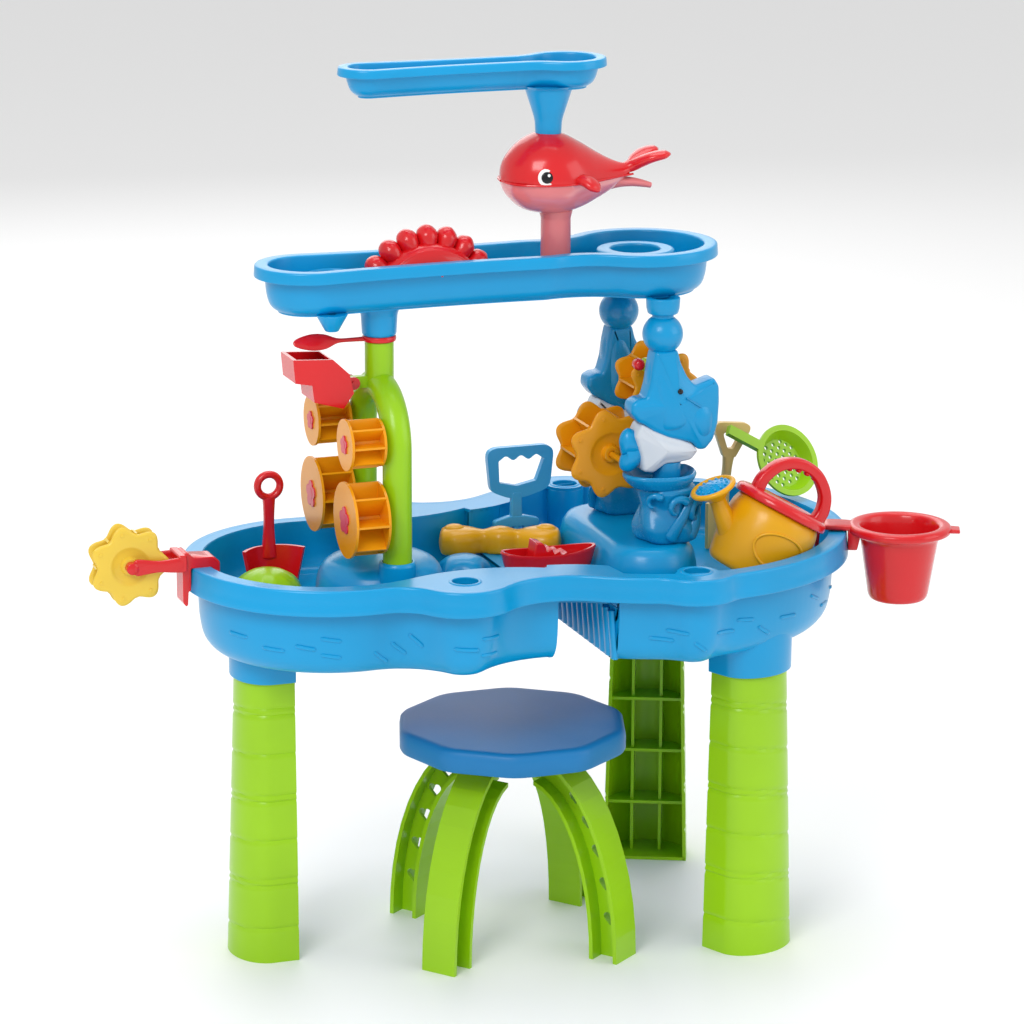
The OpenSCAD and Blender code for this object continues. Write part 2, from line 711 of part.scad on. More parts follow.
// Loose toys stand on the basin floor, the bridge or the middle tray
floor_top = floor_z + rest_gap;
bridge_top = bridge_z + rest_gap;
module shell_mould() {
  lobes = 7;
  color(red) translate([pipe_x + 46, 0, tray_under + wall + rest_gap]) rotate([90, 0, 0])
    translate([0, 0, -20]) difference() {
      linear_extrude(height = 40) {
        intersection() {
          circle(r = 54);
          translate([-60, 0]) square([120, 70]);
        }
        for (i = [0:lobes - 1]) rotate(180 - 28 - i * 20) translate([60, 0]) circle(r = 11);
      }
      translate([0, 0, -1]) linear_extrude(height = 38) intersection() {
        circle(r = 50);
        translate([-60, 3]) square([120, 70]);
      }
    }
}
shovel_x = small_x - 36;
shovel_y = 72;
module shovel() {
  color(red) translate([shovel_x, shovel_y, floor_top]) {
    difference() {
      hull() {
        translate([-24, -5, 0]) cube([48, 10, 1]);
        translate([-31, -9, 34]) cube([62, 14, 2]);
      }
      hull() {
        translate([-21, -20, 4]) cube([42, 22, 1]);
        translate([-28, -24, 36]) cube([56, 26, 2]);
      }
    }
    translate([0, 2, 30]) cylinder(h = 58, r = 6);
    translate([-3, 2, 98]) rotate([90, 0, 0]) translate([0, 0, -4]) ring(14, 8, 8);
  }
}
dome_x = small_x - 53;
dome_y = 24;
module dome_mould() {
  color(green) translate([dome_x, dome_y, floor_top]) {
    ring(36, 32, 5);
    difference() {
      intersection() {
        translate([0, 0, -4]) sphere(r = 36);
        cylinder(h = 40, r = 36);
      }
      intersection() {
        translate([0, 0, -4]) sphere(r = 33);
        translate([0, 0, -5]) cylinder(h = 40, r = 33);
      }
    }
  }
}
module bow_mould() {
  color(yellow) translate([gap_x0 + 15, 66, bridge_top]) rotate([0, 0, -19]) difference() {
    union() {
      for (s = [-1, 1]) translate([s * 36, 0, 0]) cylinder(h = 24, r1 = 20, r2 = 15);
      translate([-36, -9, 0]) cube([72, 18, 22]);
    }
    for (s = [-1, 1]) translate([s * 36, 0, -1]) cylinder(h = 22, r1 = 17, r2 = 12);
    translate([-36, -6, -1]) cube([72, 12, 20]);
  }
}
module lumpy_mould() {
  color(blue) translate([gap_x0 - 35, 28, floor_top]) difference() {
    union() {
      cylinder(h = 26, r = 20);
      for (i = [0:3]) rotate([0, 0, 20 + i * 90]) translate([18, 0, 0]) cylinder(h = 20, r = 9);
    }
    translate([0, 0, -1]) cylinder(h = 18, r = 16);
  }
}
module boat() {
  color(red) translate([gap_x0 + 27, -35, bridge_top]) {
    difference() {
      linear_extrude(height = 22) boat_plan(0);
      translate([0, 0, 3]) linear_extrude(height = 22) boat_plan(-3);
    }
    translate([-18, -9, 2]) cube([30, 18, 26]);
    translate([-4, 0, 26]) cylinder(h = 16, r = 6);
  }
}
module boat_plan(d) {
  offset(delta = d) hull() {
    translate([-30, 0]) circle(r = 17, $fn = 32);
    translate([18, 0]) circle(r = 17, $fn = 32);
    translate([44, 0]) circle(r = 2, $fn = 16);
  }
}
module rake() {
  color(blue) translate([gap_x0 + 42, 97, bridge_top]) {
    translate([-22, -5, 0]) cube([44, 8, 4]);
    for (i = [0:4]) translate([-22 + i * 10.25, -5, 0]) cube([3, 8, 18]);
    translate([-22, -5, 16]) cube([44, 8, 4]);
    translate([-5, -4, 18]) cube([10, 6, 40]);
    translate([-27, -4, 56]) cube([62, 6, 6]);
    translate([-27, -5, 84]) cube([62, 8, 9]);
    for (x = [-27, 29]) translate([x, -4, 56]) cube([6, 6, 34]);
  }
}
module tan_shovel() {
  color(tan_tone) translate([large_x + 103, 62, floor_top]) rotate([0, 6, 0]) {
    translate([-18, -3, 3]) cube([36, 5, 44]);
    translate([0, 0, 42]) cylinder(h = 54, r = 5);
    translate([0, 3, 94]) rotate([90, 0, 0]) linear_extrude(height = 6) difference() {
      polygon([[-5, -4], [5, -4], [18, 24], [-18, 24]]);
      polygon([[-2, 4], [2, 4], [10, 19], [-10, 19]]);
    }
  }
}
sieve_r = 34;
module sieve() {
  color(green) translate([large_x + 165, 56, rim_h + 33]) rotate([0, 30, 0]) rotate([58, 0, 0]) difference() {
    union() {
      cylinder(h = 14, r1 = sieve_r - 8, r2 = sieve_r);
      translate([0, 0, 11]) cylinder(h = 3, r = sieve_r + 2);
      translate([-sieve_r - 38, -5, 8]) cube([44, 10, 6]);
    }
    translate([0, 0, 3]) cylinder(h = 14, r1 = sieve_r - 10, r2 = sieve_r - 2);
    for (i = [-3:3]) for (j = [-3:3]) if (norm([i, j]) < 3.3)
      translate([i * 7, j * 7, -1]) cylinder(h = 6, r = 2);
  }
}

// Watering can: body, lid with handle, and rose
can_r = 44;
can_h = 68;
can_tilt = 30;
can_x = large_x + 84;
can_y = -100;
can_z = floor_top + (can_r - 5) * sin(can_tilt);
module at_can() {
  translate([can_x - 22, can_y, can_z]) rotate([0, can_tilt, 0]) children();
}
module can_body() {
  color(yellow) at_can() difference() {
    union() {
      cylinder(h = can_h, r1 = can_r - 5, r2 = can_r);
      translate([-can_r + 14, 0, 26]) rotate([0, -52, 0]) cylinder(h = 42, r1 = 11, r2 = 7);
    }
    translate([0, 0, 3]) cylinder(h = can_h, r1 = can_r - 8, r2 = can_r - 3);
    translate([-can_r + 14, 0, 26]) rotate([0, -52, 0]) cylinder(h = 50, r = 4.5);
  }
}
module can_lid() {
  color(red) at_can() translate([0, 0, can_h + rest_gap]) {
    ring(can_r + 2, 22, 7);
    translate([0, 0, -6]) ring(can_r - 5, can_r - 8, 8);
    rotate([90, 0, 0]) translate([6, 0, -6]) linear_extrude(height = 12) difference() {
      translate([0, 5]) intersection() {
        circle(r = 38);
        translate([-40, 0]) square([80, 40]);
      }
      translate([0, 5]) intersection() {
        circle(r = 27);
        translate([-40, 1]) square([80, 40]);
      }
    }
  }
}
module can_rose() {
  color(blue) at_can() translate([-can_r + 14, 0, 26]) rotate([0, -52, 0]) translate([0, 0, 42 + rest_gap])
    difference() {
      cylinder(h = 12, r1 = 8, r2 = 21);
      translate([0, 0, -1]) cylinder(h = 10, r1 = 5, r2 = 15);
      for (i = [0:5]) rotate([0, 0, i * 60]) translate([11, 0, 0]) cylinder(h = 20, r = 1.5);
    }
}

// Cup hung on the right-hand rim by a hook
cup_bearing = -23.5;
cup_reach = large_lobe_r + 50;
cup_r = 37;
module at_cup() {
  translate([large_x, 0, 0]) rotate([0, 0, cup_bearing]) translate([cup_reach, 0, rim_h + 5]) children();
}
module cup() {
  color(red) at_cup() {
    difference() {
      union() {
        translate([0, 0, -6]) cylinder(h = 6, r = 49);
        translate([0, 0, -72]) cylinder(h = 70, r1 = 28, r2 = cup_r + 2);
        translate([44, -8, -6]) cube([12, 16, 3]);
      }
      translate([0, 0, -69]) cylinder(h = 80, r1 = 25.5, r2 = cup_r + 1);
    }
    difference() {
      translate([-80, -14, -22]) cube([40, 28, 25]);
      translate([-75, -15, -30]) cube([25.5, 30, 30 - 4.7]);
    }
  }
}

// Wheel that clips on the left-hand rim
clip_x = small_x - small_lobe_r;
clip_wheel_r = 38;
clip_wheel_x = clip_x - 58;
clip_wheel_z = rim_h + 6;
clip_half_w = 11;
module clamp_fork() {
  arm_y = clip_half_w + 4;
  color(red) difference() {
    union() {
      for (s = [-1, 1]) translate([clip_wheel_x, s * arm_y - 2, clip_wheel_z - 7]) cube([52, 4, 14]);
      for (s = [-1, 1]) translate([clip_wheel_x, s * arm_y + 2, clip_wheel_z]) rotate([90, 0, 0])
        cylinder(h = 4, r = 7);
      translate([clip_x - 14, -arm_y - 2, clip_wheel_z - 7]) cube([8, 2 * arm_y + 4, 14]);
      translate([clip_x - 8, -12, rim_h - 22]) cube([6, 24, 35]);
      translate([clip_x - 8, -12, rim_h + rest_gap]) cube([34, 24, 8]);
      translate([clip_x + 20, -12, rim_h - 22]) cube([6, 24, 26]);
      translate([clip_x - 8, -12, rim_h - 34]) cube([4, 24, 13]);
    }
    translate([clip_wheel_x, 30, clip_wheel_z]) rotate([90, 0, 0]) cylinder(h = 60, r = pin_r);
  }
}
module clamp_wheel() {
  color(yellow) translate([clip_wheel_x, 0, clip_wheel_z]) rotate([90, 0, 0])
    star_wheel(clip_wheel_r, clip_half_w - 1);
}
module clamp_cap() {
  color(yellow) translate([clip_wheel_x, clip_half_w + 7, clip_wheel_z]) rotate([90, 0, 0])
    cylinder(h = 2 * clip_half_w + 14, r = pin_r);
}

// Stool
stool_x = -14;
stool_y = -39;
seat_t = 22;
plate_t = 6;
leg_top_r = 26;
foot_r = 128;
foot_w = 36;
foot_band = 4;
foot_depth = 30;
module stool_seat() {
  color(blue) translate([stool_x, stool_y, 0]) {
    slab(stool_h - seat_t, seat_t) difference() {
      offset(r = 8) circle(r = seat_r - 8, $fn = 10);
      offset(r = 5) circle(r = seat_r - 8, $fn = 10);
    }
    slab(stool_h - 4, 4) offset(r = 7) circle(r = seat_r - 8, $fn = 10);
    translate([0, 0, stool_h - seat_t]) ring(24, 20, seat_t - 2);
    for (i = [0:9]) rotate([0, 0, i * 36]) translate([22, -1.5, stool_h - 14])
      cube([seat_r - 32, 3, 12]);
  }
}
leg_h = stool_h - seat_t - 0.2;
function foot_curve(r0, r1, h, n = 12) =
  [for (i = [0:n]) [r0 + (r1 - r0) * sin(90 * i / n), h * cos(90 * i / n)]];
module foot_region(grow) {
  outer = foot_curve(leg_top_r, foot_r - grow, leg_h - grow);
  inner = foot_curve(leg_top_r, foot_r - foot_depth + grow, leg_h - foot_depth + grow);
  n = len(inner);
  polygon(concat(outer, [for (i = [0:n - 1]) inner[n - 1 - i]]));
}
module heart(size) {
  rotate(45) {
    square(size, center = true);
    translate([0, size / 2]) circle(r = size / 2, $fn = 24);
    translate([size / 2, 0]) circle(r = size / 2, $fn = 24);
  }
}
module stool_leg(i) {
  hearts = 5;
  color(green) translate([stool_x, stool_y, 0]) rotate([0, 0, -142 + 90 * i]) rotate([90, 0, 0]) {
    translate([0, 0, -foot_w / 2]) linear_extrude(height = foot_w) difference() {
      foot_region(0);
      foot_region(foot_band);
      translate([leg_top_r - 1, 0]) square([10, leg_h + 1]);
    }
    translate([0, 0, -2]) linear_extrude(height = 4) difference() {
      foot_region(1);
      for (k = [0:hearts - 1]) {
        a = 32 + k * 11.5;
        translate([leg_top_r + (foot_r - foot_depth / 2 - leg_top_r) * sin(a),
          (leg_h - foot_depth / 2) * cos(a)]) heart(8);
      }
    }
    translate([leg_top_r - 2, leg_h - 6, -foot_w / 2]) cube([38, 6, foot_w]);
  }
}
module stool_leg_a() { stool_leg(0); }
module stool_leg_b() { stool_leg(1); }
module stool_leg_c() { stool_leg(2); }
module stool_leg_d() { stool_leg(3); }

basin_left();
basin_right();
leg_left();
leg_front();
leg_back();
left_pedestal();
right_pedestal();
arch_pipe_front();
arch_pipe_back();
arch_crown();
upper_pipe();
spinner();
tipping_bucket();
bucket_pin();
wheel_axles();
wheel_upper_back();
wheel_upper_front();
wheel_lower_back();
wheel_lower_front();
flower_upper_back();
flower_upper_front();
flower_lower_back();
flower_lower_front();
middle_tray();
dolphin_front();
dolphin_back();
belly_front();
belly_back();
wave_front();
wave_back();
star_axles();
large_star_wheel();
small_star_wheel();
whale_shell();
whale_belly();
whale_stem();
whale_eyes();
top_tray();
shell_mould();
shovel();
dome_mould();
bow_mould();
lumpy_mould();
boat();
rake();
tan_shovel();
sieve();
can_body();
can_lid();
can_rose();
cup();
clamp_fork();
clamp_wheel();
clamp_cap();
stool_seat();
stool_leg_a();
stool_leg_b();
stool_leg_c();
stool_leg_d();
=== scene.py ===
import math
import bmesh
import bpy
import numpy as np
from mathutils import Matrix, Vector, geometry


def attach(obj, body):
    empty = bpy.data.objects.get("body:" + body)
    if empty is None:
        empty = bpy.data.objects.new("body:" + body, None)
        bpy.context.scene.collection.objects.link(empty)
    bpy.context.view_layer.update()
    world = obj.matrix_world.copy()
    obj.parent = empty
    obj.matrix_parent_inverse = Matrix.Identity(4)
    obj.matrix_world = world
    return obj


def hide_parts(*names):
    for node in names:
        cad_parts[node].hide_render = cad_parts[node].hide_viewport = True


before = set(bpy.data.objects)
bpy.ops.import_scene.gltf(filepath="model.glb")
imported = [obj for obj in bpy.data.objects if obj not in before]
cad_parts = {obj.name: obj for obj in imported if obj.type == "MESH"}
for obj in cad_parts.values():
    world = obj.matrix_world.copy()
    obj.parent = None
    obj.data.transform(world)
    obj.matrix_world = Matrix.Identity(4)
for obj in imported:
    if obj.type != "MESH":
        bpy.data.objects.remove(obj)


def noteSize():
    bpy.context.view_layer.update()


noteSize()
tau = 2 * math.pi


# Wraps a socket, so that node sums read as sums
class Wire:
    def __init__(self, tree, socket):
        self.tree = tree
        self.socket = socket

    def node(self, kind, settings, values, out=0):
        made = self.tree.nodes.new(kind)
        for key, value in settings.items():
            setattr(made, key, value)
        for key, value in values.items():
            if isinstance(value, Wire):
                self.tree.links.new(value.socket, made.inputs[key])
            else:
                made.inputs[key].default_value = value
        return Wire(self.tree, made.outputs[out])

    def maths(self, kind, a, b):
        return self.node("ShaderNodeMath", {"operation": kind}, {0: a, 1: b})

    def __add__(self, other):
        return self.maths("ADD", self, other)

    def __radd__(self, other):
        return self.maths("ADD", other, self)

    def __sub__(self, other):
        return self.maths("SUBTRACT", self, other)

    def __rsub__(self, other):
        return self.maths("SUBTRACT", other, self)

    def __mul__(self, other):
        return self.maths("MULTIPLY", self, other)

    def __rmul__(self, other):
        return self.maths("MULTIPLY", other, self)

    def __truediv__(self, other):
        return self.maths("DIVIDE", self, other)

    def __rtruediv__(self, other):
        return self.maths("DIVIDE", other, self)


# Hex shade to linear light: ((v + 0.055) / 1.055) ** 2.4 above 0.04045, v / 12.92 below
def linear(text, share=1.0):
    v = np.array([int(text[i : i + 2], 16) for i in (0, 2, 4)]) / 255 * share
    low = v / 12.92
    high = ((v + 0.055) / 1.055) ** 2.4
    return (*np.where(v <= 0.04045, low, high).tolist(), 1.0)


# Moulded plastic: a faint drift of tone, an orange-peel skin and uneven gloss
def plastic(name, text, shade=0.9, rough=0.28, coat=0.1, drift=7.0, peel=420.0, through=0.0, soft=0.0):
    mat = bpy.data.materials.new(name)
    mat.use_nodes = True
    tree = mat.node_tree
    shader = tree.nodes["Principled BSDF"]
    place = Wire(tree, tree.nodes.new("ShaderNodeTexCoord").outputs["Object"])
    wide = place.node("ShaderNodeTexNoise", {}, {"Vector": place, "Scale": drift, "Detail": 3.0})
    fine = place.node("ShaderNodeTexNoise", {}, {"Vector": place, "Scale": peel, "Detail": 2.0})
    tone = wide.node(
        "ShaderNodeMix",
        {"data_type": "RGBA"},
        {0: (wide - 0.3) * 1.6, 6: linear(text, shade), 7: linear(text)},
        out=2,
    )
    gloss = rough - 0.03 + wide * 0.04 + fine * 0.05
    bump = fine.node("ShaderNodeBump", {}, {"Strength": 0.06, "Distance": 0.0004, "Height": fine})
    tree.links.new(tone.socket, shader.inputs["Base Color"])
    tree.links.new(gloss.socket, shader.inputs["Roughness"])
    tree.links.new(bump.socket, shader.inputs["Normal"])
    shader.inputs["Specular IOR Level"].default_value = 0.36
    shader.inputs["Coat Weight"].default_value = coat
    shader.inputs["Coat Roughness"].default_value = 0.12
    shader.inputs["Transmission Weight"].default_value = through
    shader.inputs["Subsurface Weight"].default_value = soft
    shader.inputs["Subsurface Radius"].default_value = (0.004, 0.003, 0.002)
    return mat


blue = plastic("bluePlastic", "00a0dd")
# Darker copy of the blue for the stool seat: painted shade standing in for the shadow the table casts on
# it
shadedSeatBlue = plastic("shadedSeatBluePlastic", "117dbe", rough=0.45, coat=0.04)
deepBlue = plastic("deepBluePlastic", "0892cc", rough=0.25, coat=0.2)
lightBlue = plastic("lightBluePlastic", "4ab4ec")
green = plastic("greenPlastic", "9fd60f")
red = plastic("redPlastic", "e3141c", rough=0.22, coat=0.4)
orange = plastic("orangePlastic", "f6a30c")
yellow = plastic("yellowPlastic", "f6b10a")
paleYellow = plastic("paleYellowPlastic", "f7d24a", soft=0.1)
pink = plastic("pinkPlastic", "f6898c", rough=0.2, through=0.12, soft=0.1)
flowerPink = plastic("flowerPinkPlastic", "e03a50")
grey = plastic("greyPlastic", "d3dae2", shade=0.95)
tan = plastic("tanPlastic", "ecca7e", shade=0.94, rough=0.38)
white = plastic("whitePlastic", "f6f6f4", shade=0.97)
black = plastic("blackPlastic", "101014", rough=0.15)
print("materials made")


# A part is a pair: points in millimetres, and faces
def skin(sections, ring=True, closed=False):
    s = np.asarray(sections, float)
    n, m = s.shape[:2]
    i = np.arange(n if closed else n - 1)[:, None]
    j = np.arange(m if ring else m - 1)[None, :]
    nextI = (i + 1) % n
    nextJ = (j + 1) % m
    quads = np.stack([i * m + j, i * m + nextJ, nextI * m + nextJ, nextI * m + j], -1)
    faces = quads.reshape(-1, 4).tolist()
    if not closed:
        faces.append(list(range(m))[::-1])
        faces.append(list(range((n - 1) * m, n * m)))
    return s.reshape(-1, 3), faces


# Points stacked one part after another, with each part's face numbers moved on by the points before it
def joined(parts):
    points, faces, start = [], [], 0
    for p, f in parts:
        points.append(p)
        faces += [[k + start for k in face] for face in f]
        start += len(p)
    return np.vstack(points), faces


# Joins parts given in millimetres into one object in metres that rides on a body
def piece(name, body, material, parts, bevel=0.0, sharp=38):
    points, faces = joined(parts)
    mesh = bpy.data.meshes.new(name)
    mesh.from_pydata((points * 0.001).tolist(), [], faces)
    work = bmesh.new()
    work.from_mesh(mesh)
    bmesh.ops.recalc_face_normals(work, faces=work.faces)
    work.to_mesh(mesh)
    work.free()
    mesh.polygons.foreach_set("use_smooth", np.ones(len(mesh.polygons), bool))
    mesh.set_sharp_from_angle(angle=math.radians(sharp))
    mesh.materials.append(material)
    obj = bpy.data.objects.new(name, mesh)
    bpy.context.scene.collection.objects.link(obj)
    if bevel:
        edge = obj.modifiers.new("edge", "BEVEL")
        edge.width = bevel * 0.001
        edge.segments = 2
        edge.limit_method = "ANGLE"
    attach(obj, body)
    return obj


# v / |v| for each row
def unit(v):
    return v / np.maximum(np.linalg.norm(v, axis=-1, keepdims=True), 1e-9)


# Turn about one axis: cosines on the diagonal, plus and minus the sine beside it
def turnMatrix(axis, degrees):
    a = math.radians(degrees)
    c, s = math.cos(a), math.sin(a)
    return {
        "x": np.array([[1, 0, 0], [0, c, -s], [0, s, c]]),
        "y": np.array([[c, 0, s], [0, 1, 0], [-s, 0, c]]),
        "z": np.array([[c, -s, 0], [s, c, 0], [0, 0, 1]]),
    }[axis]


# Turns are made in the order given, then the part is shifted
def put(part, shift=(0, 0, 0), *turns):
    points, faces = part
    for axis, degrees in turns:
        points = points @ turnMatrix(axis, degrees).T
    return points + np.array(shift, float), faces


def even(path, count, closed=False):
    path = np.asarray(path, float)
    if closed:
        path = np.vstack([path, path[:1]])
    steps = np.linalg.norm(np.diff(path, axis=0), axis=1)
    run = np.concatenate([[0], np.cumsum(steps)])
    at = np.linspace(0, run[-1], count, endpoint=not closed)
    return np.stack([np.interp(at, run, path[:, k]) for k in range(path.shape[1])], 1)


# Smooth curve through rows of numbers
def smooth(rows, count):
    rows = np.asarray(rows, float)
    n = len(rows)
    t = np.linspace(0, n - 1, count)
    k = np.minimum(t.astype(int), n - 2)
    f = (t - k)[:, None]
    a, b, c, d = (rows[np.clip(k + i, 0, n - 1)] for i in (-1, 0, 1, 2))
    cubic = (3 * b - a - 3 * c + d) * f**3
    return 0.5 * (2 * b + (c - a) * f + (2 * a - 5 * b + 4 * c - d) * f**2 + cubic)


# Rounds each corner of a polygon with a short curve
def soften(points, radius, steps=4, closed=True):
    p = np.asarray(points, float)
    before, after = np.roll(p, 1, 0), np.roll(p, -1, 0)
    reach = np.broadcast_to(np.asarray(radius, float), (len(p),))[:, None]
    la = np.linalg.norm(before - p, axis=1, keepdims=True)
    lb = np.linalg.norm(after - p, axis=1, keepdims=True)
    start = p + (before - p) * np.minimum(reach / la, 0.49)
    end = p + (after - p) * np.minimum(reach / lb, 0.49)
    t = np.linspace(0, 1, steps)[None, :, None]
    curve = (1 - t) ** 2 * start[:, None] + 2 * t * (1 - t) * p[:, None] + t**2 * end[:, None]
    out = curve.reshape(-1, p.shape[1])
    if closed:
        return out
    return np.vstack([p[:1], out[steps:-steps], p[-1:]])


# Centre of the circle of radius f outside circles a and b, from its distances a + f and b + f
def touch(a, b, f):
    a, b = np.array(a, float), np.array(b, float)
    d = np.hypot(*(b - a)[:2])
    u = (b - a)[:2] / d
    ra, rb = a[2] + f, b[2] + f
    along = (ra * ra - rb * rb + d * d) / (2 * d)
    off = math.sqrt(ra * ra - along * along)
    return a[:2] + u * along + np.array([u[1], -u[0]]) * off


# Closed outline round a chain of circles with concave fillets between them, moved outwards by d
def outline(circles, fillets, d=0.0, step=3.0):
    m = len(circles)
    middle = [touch(circles[i], circles[(i + 1) % m], fillets[i]) for i in range(m)]
    runs = []
    for i in range(m):
        c, nextC = np.array(circles[i][:2]), np.array(circles[(i + 1) % m][:2])
        q, p = middle[i], middle[i - 1]
        a0, a1 = np.arctan2(*(p - c)[::-1]), np.arctan2(*(q - c)[::-1])
        b0, b1 = np.arctan2(*(c - q)[::-1]), np.arctan2(*(nextC - q)[::-1])
        s1, s2 = (a1 - a0) % tau, (b0 - b1) % tau
        n1 = max(4, math.ceil(math.degrees(s1) / step))
        n2 = max(8, math.ceil(math.degrees(s2) / step))
        a = a0 + s1 * np.arange(n1) / n1
        b = b0 - s2 * np.arange(n2) / n2
        runs.append(c + (circles[i][2] + d) * np.stack([np.cos(a), np.sin(a)], 1))
        runs.append(q + (fillets[i] - d) * np.stack([np.cos(b), np.sin(b)], 1))
    return np.vstack(runs)


# The run of a closed loop on one side of a line across X
def portion(loop, x0, side, count):
    keep = side * (loop[:, 0] - x0) >= 0
    start = np.where(keep & ~np.roll(keep, 1))[0][0]
    run, kept = np.roll(loop, -start, 0), np.roll(keep, -start)
    m = int(np.argmin(kept))

    def cross(p, q):
        return p + (q - p) * (x0 - p[0]) / (q[0] - p[0])

    path = np.vstack([[cross(run[-1], run[0])], run[:m], [cross(run[m - 1], run[m])]])
    return even(path, count)


# Flat outline set at one height
def level(flat, z):
    return np.column_stack([flat, np.broadcast_to(z, (len(flat),))])


# A wall or lip that follows an outline; its profile is a closed list of (outwards, height)
def band(circles, fillets, profile, x0=0.0, side=0, count=200):
    loops = [outline(circles, fillets, d) for d, z in profile]
    if side:
        loops = [portion(loop, x0, side, count) for loop in loops]
    grid = np.stack([level(loop, row[1]) for loop, row in zip(loops, profile)])
    if side:
        return skin(grid.transpose(1, 0, 2))
    return skin(grid, closed=True)


# True for points inside an odd number of the loops
def inside(points, loops):
    x, y = points[:, 0][:, None], points[:, 1][:, None]
    count = np.zeros(len(points), int)
    for loop in loops:
        a, b = loop, np.roll(loop, -1, 0)
        spans = (a[None, :, 1] > y) != (b[None, :, 1] > y)
        rise = np.where(b[:, 1] == a[:, 1], 1e-9, b[:, 1] - a[:, 1])
        at = a[None, :, 0] + (y - a[None, :, 1]) * ((b[:, 0] - a[:, 0]) / rise)[None]
        count += (spans & (x < at)).sum(1)
    return count % 2 == 1


# Flat plate with holes
def plate(outer, holes, z0, z1):
    loops = [np.asarray(v, float) for v in (outer, *holes)]
    ends, start = [], 0
    for loop in loops:
        k = np.arange(len(loop)) + start
        ends += np.column_stack([k, np.roll(k, -1)]).tolist()
        start += len(loop)
    made = geometry.delaunay_2d_cdt([Vector(p) for p in np.vstack(loops)], ends, [], 0, 1e-5)
    v = np.array([p[:] for p in made[0]])
    t = np.array([f for f in made[2] if len(f) == 3])
    t = t[inside(v[t].mean(1), loops)]
    n = len(v)
    a = t.reshape(-1)
    b = np.roll(t, -1, 1).reshape(-1)
    rim = ~np.isin(a * n + b, b * n + a)
    a, b = a[rim], b[rim]
    faces = (t + n).tolist() + t[:, ::-1].tolist() + np.stack([a, b, b + n, a + n], 1).tolist()
    return np.vstack([level(v, z0), level(v, z1)]), faces


# x + r cos(a), y + r sin(a) at even angles
def circle(r, count=48, x=0.0, y=0.0):
    a = np.arange(count) * tau / count
    return np.stack([x + r * np.cos(a), y + r * np.sin(a)], 1)


# Turned shape; wave is a share of the radius by height and angle
def turned(profile, closed=False, count=64, wave=None):
    p = np.asarray(profile, float)
    a = np.arange(count) * tau / count
    r = np.maximum(p[:, :1], 0.01) * np.ones((1, count))
    if wave is not None:
        r = r * (1 + wave(p[:, 1:2], a[None]))
    z = p[:, 1:2] * np.ones((1, count))
    return skin(np.stack([r * np.cos(a), r * np.sin(a), z], -1), closed=closed)


# Ring turned from a closed profile with softened corners, set at a place
def ring(profile, radius, place):
    return put(turned(soften(profile, radius), closed=True), place)


# Swept shape: each row is x, y, z and the two half widths, the second one along up
def swept(rows, count=48, up=(0, 1, 0), around=20, power=2.0, ends=(0.0, 0.0), plain=False):
    rows = np.asarray(rows, float)
    if rows.shape[1] == 4:
        rows = np.column_stack([rows, rows[:, 3]])
    s = rows if plain else smooth(rows, count)
    p = s[:, :3]
    along = unit(np.gradient(p, axis=0))
    side = unit(np.cross(along, np.array(up, float)))
    rise = unit(np.cross(side, along))
    steps = np.linalg.norm(np.diff(p, axis=0), axis=1)
    run = np.concatenate([[0], np.cumsum(steps)])
    shape = np.ones(len(p))
    for reach, gone in ((ends[0], run), (ends[1], run[-1] - run)):
        if reach:
            u = np.clip(gone / reach, 0.0, 1)
            shape = shape * np.sqrt(np.maximum(1 - (1 - u) ** 2, 1e-4))
    a = np.arange(around) * tau / around
    c, w = np.cos(a), np.sin(a)
    c = np.sign(c) * np.abs(c) ** (2 / power)
    w = np.sign(w) * np.abs(w) ** (2 / power)
    wide = (s[:, 3] * shape)[:, None, None] * c[None, :, None] * side[:, None]
    tall = (s[:, 4] * shape)[:, None, None] * w[None, :, None] * rise[:, None]
    return skin(p[:, None] + wide + tall)


# Box between two corners
def block(x0, x1, y0, y1, z0, z1):
    flat = np.array([[x0, y0], [x1, y0], [x1, y1], [x0, y1]], float)
    return skin([level(flat, z0), level(flat, z1)])


# Pillow-like plate: an outline drawn in from both faces
def pillow(flat, thick, inset, rise=4, dome=0.0):
    flat = np.asarray(flat, float)
    along = unit(np.roll(flat, -1, 0) - np.roll(flat, 1, 0))
    turnSign = np.sign((flat[:, 0] * np.roll(flat[:, 1], -1) - np.roll(flat[:, 0], -1) * flat[:,
        1]).sum())
    inward = np.stack([-along[:, 1], along[:, 0]], 1) * turnSign
    u = np.linspace(0, math.pi / 2, rise)
    middle = flat.mean(0)
    rows = [level(middle + (flat + inward * inset - middle) * share, -thick / 2)
        for share in (0.05, 0.4, 0.75)]
    for a in u:
        rows.append(level(flat + inward * inset * (1 - math.sin(a)),
            -thick / 2 + inset * (1 - math.cos(a))))
    for a in u[::-1]:
        rows.append(level(flat + inward * inset * (1 - math.sin(a)),
            thick / 2 - inset * (1 - math.cos(a))))
    if dome:
        for share in (0.85, 0.6, 0.3, 0.05):
            rows.append(level(middle + (flat + inward * inset - middle) * share,
                thick / 2 + dome * (1 - share**2)))
    return skin(rows)


lobeS, lobeL = (-182, 0, 135), (133, 0, 193)
bumpS, bumpL = (-95, 130.0, 46), (117, 165.0, 41)


# The same circle on the user's side, with y negated
def front(c):
    return (c[0], -c[1], c[2])


rim = [lobeS, front(bumpS), lobeL, front(bumpL), lobeL, bumpL, lobeL, bumpS]
rimFillets = [40, 70, 30, 30, 30, 30, 70, 40]
cavity, cavityFillets = [lobeS, lobeL], [130, 130]
basin = {
    "top": 383.0,
    "floor": 334.0,
    "skirt": 297.0,
    "bridge": 350.0,
    "seam": 28.0,
    "gap": (-4.0, 47.0),
    "lip": 23.0,
    "waist": 40.0,
    "holeR": 12.0,
    "boss": 18.5,
}


